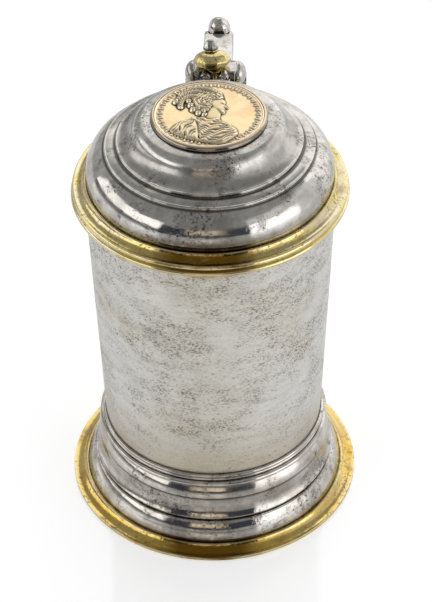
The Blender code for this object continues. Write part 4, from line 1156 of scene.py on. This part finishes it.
def build_body():
    """Foot, wires and drum."""
    ring = turned(softened(foot_flange_line(), reach=0.3))
    # Painted shade on the ring's inner edge next to the skirt; the front mark gives painted shade at the
    # front and a painted highlight at the sides
    marks = {"painted_shade": ramp(girth(ring), *FOOT_PAINTED_SHADE), "front": frontal(ring)}
    put("gilt_foot_ring", ring, "tankard", ["foot_flange"], GILT, marks)
    skirt = turned(softened(foot_skirt_line(), reach=0.3))
    # Painted shade and painted reflection of the gilt ring: brown where the skirt faces front, strongest at
    # the roll's foot
    low = np.maximum(0.9 * ramp(skirt[0][:, 2], *SKIRT_PAINTED_SHADE), 0.25) * frontal(skirt)
    put("moulded_foot_skirt", skirt, "tankard", ["foot_skirt"], SILVER_FOOT, {"painted_shade": low})
    for side, line in (("lower", round_wire_line()), ("upper", softened(threaded_wire_line(), reach=0.1))):
        wire = turned(line)
        put(f"drawn_wire_{side}", wire, "tankard", [f"foot_wire_{side}"], SILVER_FOOT)
    wall = turned(softened(drum_line(), reach=0.25), turns=256)
    front = frontal(wall)
    middle = np.exp(-(((wall[0][:, 0] - LIP_GILT_MIDDLE) / LIP_GILT_REACH) ** 2)) * (front > 0)
    # The front mark carries the drum's painted shade at its front
    marks = {"front": front, "gilt": middle * ramp(wall[0][:, 2], *LIP_GILT)}
    put("drum_wall", wall, "tankard", ["drum"], SILVER_DRUM, marks)
    keep_solid(SILVER_DRUM, "drum_bottom")


def build_lid():
    """Lid shell, flange, bezel, collar and medal."""
    shell = turned(softened(dome_line(), reach=0.22), turns=256)
    # Painted shade and painted reflection of the gilt flange: brown on the lower torus where it faces front,
    # faint over the rest of its front
    low = np.maximum(0.95 * ramp(shell[0][:, 2], *DOME_PAINTED_SHADE), 0.15) * frontal(shell)
    marks = {"painted_shade": low, "rubbed": 0.9 * ramp(shell[0][:, 2], *DOME_RUBBED)}
    put("lid_shell", shell, "lid", ["lid_dome"], SILVER, marks)
    flange = turned(softened(lid_flange_line(), reach=0.22))
    # Painted shade on the flange's inner edge next to the dome; the front mark gives painted shade at the
    # front and a painted highlight at the sides
    marks = {"painted_shade": ramp(girth(flange), *FLANGE_PAINTED_SHADE), "front": frontal(flange)}
    put("gilt_lid_flange", flange, "lid", ["lid_flange"], GILT_LID, marks)
    bezel = turned(softened(bezel_line(), reach=0.25))
    put("lid_bezel_ring", bezel, "lid", ["lid_bezel"], SILVER)
    collar = turned(softened(collar_line(), reach=0.2), turns=256, sway=0)
    # Painted shade at the collar's foot, where it meets the dome
    marks = {"painted_shade": 0.7 * ramp(collar[0][:, 2], *COLLAR_PAINTED_SHADE), "gilt": ramp(collar[0][:, 2], *COLLAR_GILT)}
    put("medal_setting", collar, "lid", ["medal_collar"], SILVER_SET, marks)
    medal, relief = medal_shape()
    put("struck_medal", medal, "lid", ["medal"], GILT_MEDAL, {"relief": relief}, sharp=60.0)


def build_hinge():
    """Leaf, knuckles, yoke and pin."""
    put("lid_hinge_leaf", leaf_shape(), "lid", ["hinge_leaf"], SILVER_CAST)
    knuckle = turned(softened(knuckle_line(), reach=0.2, closed=False), closed=False, turns=72, sway=0)
    for side, sign in SIDES:
        shape = across_hinge(knuckle, sign)
        solid = f"hinge_knuckle_{side}"
        put(f"domed_knuckle_{side}", shape, "tankard", [solid], SILVER_CAST)
    keep_solid(SILVER_CAST, "hinge_yoke", "hinge_pin")


def build_thumbpiece():
    """Faceted ball on a baluster, finial and volutes."""
    put("faceted_ball", lofted_facets(BALL_LEVELS, edge=0.9), "lid", ["thumb_ball"], GILT_CAST)
    spots, *rest = lofted_facets(FINIAL_LEVELS, edge=0.35)
    bud = (spots - (FINIAL_SHIFT, 0, 0), *rest)
    put("faceted_finial", bud, "lid", ["thumb_finial"], SILVER_CAST)
    for side, sign in SIDES:
        shape = volute_shape(sign)
        put(f"volute_{side}", shape, "lid", [f"thumb_scroll_{side}"], SILVER_CAST)
    line = softened(np.array(STEM_LEVELS), reach=0.3, closed=False)
    spots, *rest = turned(line, closed=False, turns=48, sway=0)
    stem = (spots + (0, LEAF_FACE + STEM_INSET, 0), *rest)
    put("gilt_stem", stem, "lid", [], GILT_CAST)


def build_handle():
    """Plate, limb, arm and pad."""
    under = PLATE_TOP - PLATE_THICKNESS
    lower = [(PLATE_START, under), (PLATE_END, under)]
    upper = [(PLATE_END, PLATE_TOP), (PLATE_START, PLATE_TOP)]
    plate = softened(outline(lower, upper), reach=0.25)
    spots, *rest = carried(plate, *slab_places(PLATE_WIDTH, PLATE_ROUND))
    share = (spots[:, 1:2] - PLATE_START) / (PLATE_END - PLATE_START)
    slab = (spots * np.hstack([1 - PLATE_NARROWING * share, np.ones((len(spots), 2))]), *rest)
    put("handle_top_plate", slab, "tankard", ["handle_plate"], SILVER_PLATE)
    put("handle_ear", limb_shape(), "tankard", ["handle_limb"], SILVER_CAST)
    keep_solid(SILVER_CAST, "handle_arm", "handle_lower_pad")


def window(tree, value, low, high, soft):
    """One where a value lies between low and high and nought elsewhere, with edges as wide as soft."""
    rise = {"Value": value, "From Min": low - soft / 2, "From Max": low + soft / 2}
    fall = {"Value": value, "From Min": high + soft / 2, "From Max": high - soft / 2}
    rising = node(tree, "MapRange", rise, interpolation_type="SMOOTHSTEP")[0]
    falling = node(tree, "MapRange", fall, interpolation_type="SMOOTHSTEP")[0]
    return node(tree, "Math", {0: rising, 1: falling}, operation="MULTIPLY")[0]


WORLD_STRENGTH = 2.0
WORLD_CEILING = "#757678"
WORLD_SEEN = "#bcbcbc"
WORLD_SEAM = math.radians(-120)
# Each wall, lamp and gap of the studio: from and to round the object, in degrees to the right of the front,
# from and to above the floor, the width of its edges both ways, and its colour
WORLD_PATCHES = (
    (120, 180, -30, 40, 12, 6, "#d8d8d8"),
    (180, 240, -30, 40, 12, 6, "#868686"),
    (-120, -41, -30, 22, 5, 4, "#606062"),
    (38, 120, -30, 45, 5, 12, "#b0b0b2"),
    (155, 205, 20, 56, 14, 8, "#d0d0d0"),
    (-41, 38, -30, 26, 3, 6, "#33363e"),
    (-18, 12, 8, 25, 3, 3, "#c2b5a4"),
    (-120, -41, 8, 32, 3, 3, "#eeeeee"),
    (38, 84, -8, 25, 4, 5, "#fafbff"),
)
FLOOR_HALF = 3.0
FLOOR_GLOW = 0.47
FLOOR_MIRRORED = 0.5

# Camera: millimetres for the lens and its film, and metres from the foot of the drum's axis
CAMERA_LENS = 144.69
CAMERA_FILM = 36.0
CAMERA_PLACE = (0.03863, -0.8133, 0.7799)
CAMERA_TURN = math.radians(2.594)
CAMERA_TIP = math.radians(49.994)
CAMERA_ROLL = math.radians(-0.813)


def build_floor():
    """A white table with the object's shadow on it: the camera sees its glow, and reflections half of it."""
    mesh = bpy.data.meshes.new("studio_floor")
    corners = [(-1, -1, 0), (1, -1, 0), (1, 1, 0), (-1, 1, 0)]
    mesh.from_pydata(np.array(corners) * FLOOR_HALF, [], [(0, 1, 2, 3)])
    floor = bpy.data.objects.new("studio_floor", mesh)
    bpy.context.scene.collection.objects.link(floor)
    material = bpy.data.materials.new("white_acrylic_table")
    material.use_nodes = True
    tree = material.node_tree
    shader = tree.nodes["Principled BSDF"]
    finish = {"Base Color": linear("#e8e8e8"), "Roughness": 0.1, "Specular IOR Level": 1.0}
    for title, value in (finish | {"Emission Color": linear("#ffffff")}).items():
        shader.inputs[title].default_value = value
    light = node(tree, "LightPath")
    bent = {0: light["Is Glossy Ray"], 1: light["Is Transmission Ray"]}
    mirrored = {0: node(tree, "Math", bent, operation="ADD")[0], 1: FLOOR_MIRRORED}
    dimmed = node(tree, "Math", mirrored, operation="MULTIPLY")[0]
    seen = node(tree, "Math", {0: dimmed, 1: light["Is Camera Ray"]}, operation="ADD")[0]
    glow = node(tree, "Math", {0: seen, 1: FLOOR_GLOW}, operation="MULTIPLY")[0]
    tree.links.new(glow, shader.inputs["Emission Strength"])
    mesh.materials.append(material)


def build_world():
    """A soft studio worked out from the angles of sight round the object and above the floor."""
    world = bpy.data.worlds.new("soft_studio")
    bpy.context.scene.world = world
    world.use_nodes = True
    tree = world.node_tree
    sight = node(tree, "SeparateXYZ", {"Vector": node(tree, "TexCoord")["Generated"]})
    back = node(tree, "Math", {0: sight["Y"], 1: -1.0}, operation="MULTIPLY")[0]
    round_object = node(tree, "Math", {0: sight["X"], 1: back}, operation="ARCTAN2")[0]
    behind = node(tree, "Math", {0: round_object, 1: TAU}, operation="ADD")[0]
    is_left = node(tree, "Math", {0: round_object, 1: WORLD_SEAM}, operation="LESS_THAN")[0]
    turn = node(tree, "Mix", {0: is_left, 2: round_object, 3: behind})[0]
    above = node(tree, "Math", {0: sight["Z"]}, operation="ARCSINE")[0]
    layers = []
    for start, end, low, high, soft_turn, soft_rise, colour in WORLD_PATCHES:
        across = window(tree, turn, math.radians(start), math.radians(end), math.radians(soft_turn))
        up = window(tree, above, math.radians(low), math.radians(high), math.radians(soft_rise))
        layers.append((1.0, colour, across, up))
    camera = node(tree, "LightPath")["Is Camera Ray"]
    colour = coats(tree, linear(WORLD_CEILING), *layers, (1.0, WORLD_SEEN, camera))
    background = tree.nodes["Background"]
    tree.links.new(colour, background.inputs["Color"])
    background.inputs["Strength"].default_value = WORLD_STRENGTH


def place_camera():
    """The photograph's view: from the front and 40 degrees above, a little off the handle's plane."""
    camera = bpy.data.cameras.new("camera")
    camera.sensor_fit = "VERTICAL"
    camera.sensor_height = CAMERA_FILM
    camera.lens = CAMERA_LENS
    holder = bpy.data.objects.new("camera", camera)
    turn = Matrix.Rotation(CAMERA_TURN, 4, "Z") @ Matrix.Rotation(CAMERA_TIP, 4, "X")
    roll = Matrix.Rotation(CAMERA_ROLL, 4, "Z")
    holder.matrix_world = Matrix.Translation((AXIS + CAMERA_PLACE).tolist()) @ turn @ roll
    bpy.context.scene.collection.objects.link(holder)
    bpy.context.scene.camera = holder


build_body()
build_lid()
build_hinge()
build_thumbpiece()
build_handle()
build_floor()
build_world()
place_camera()
bpy.context.scene.view_settings.view_transform = "Standard"
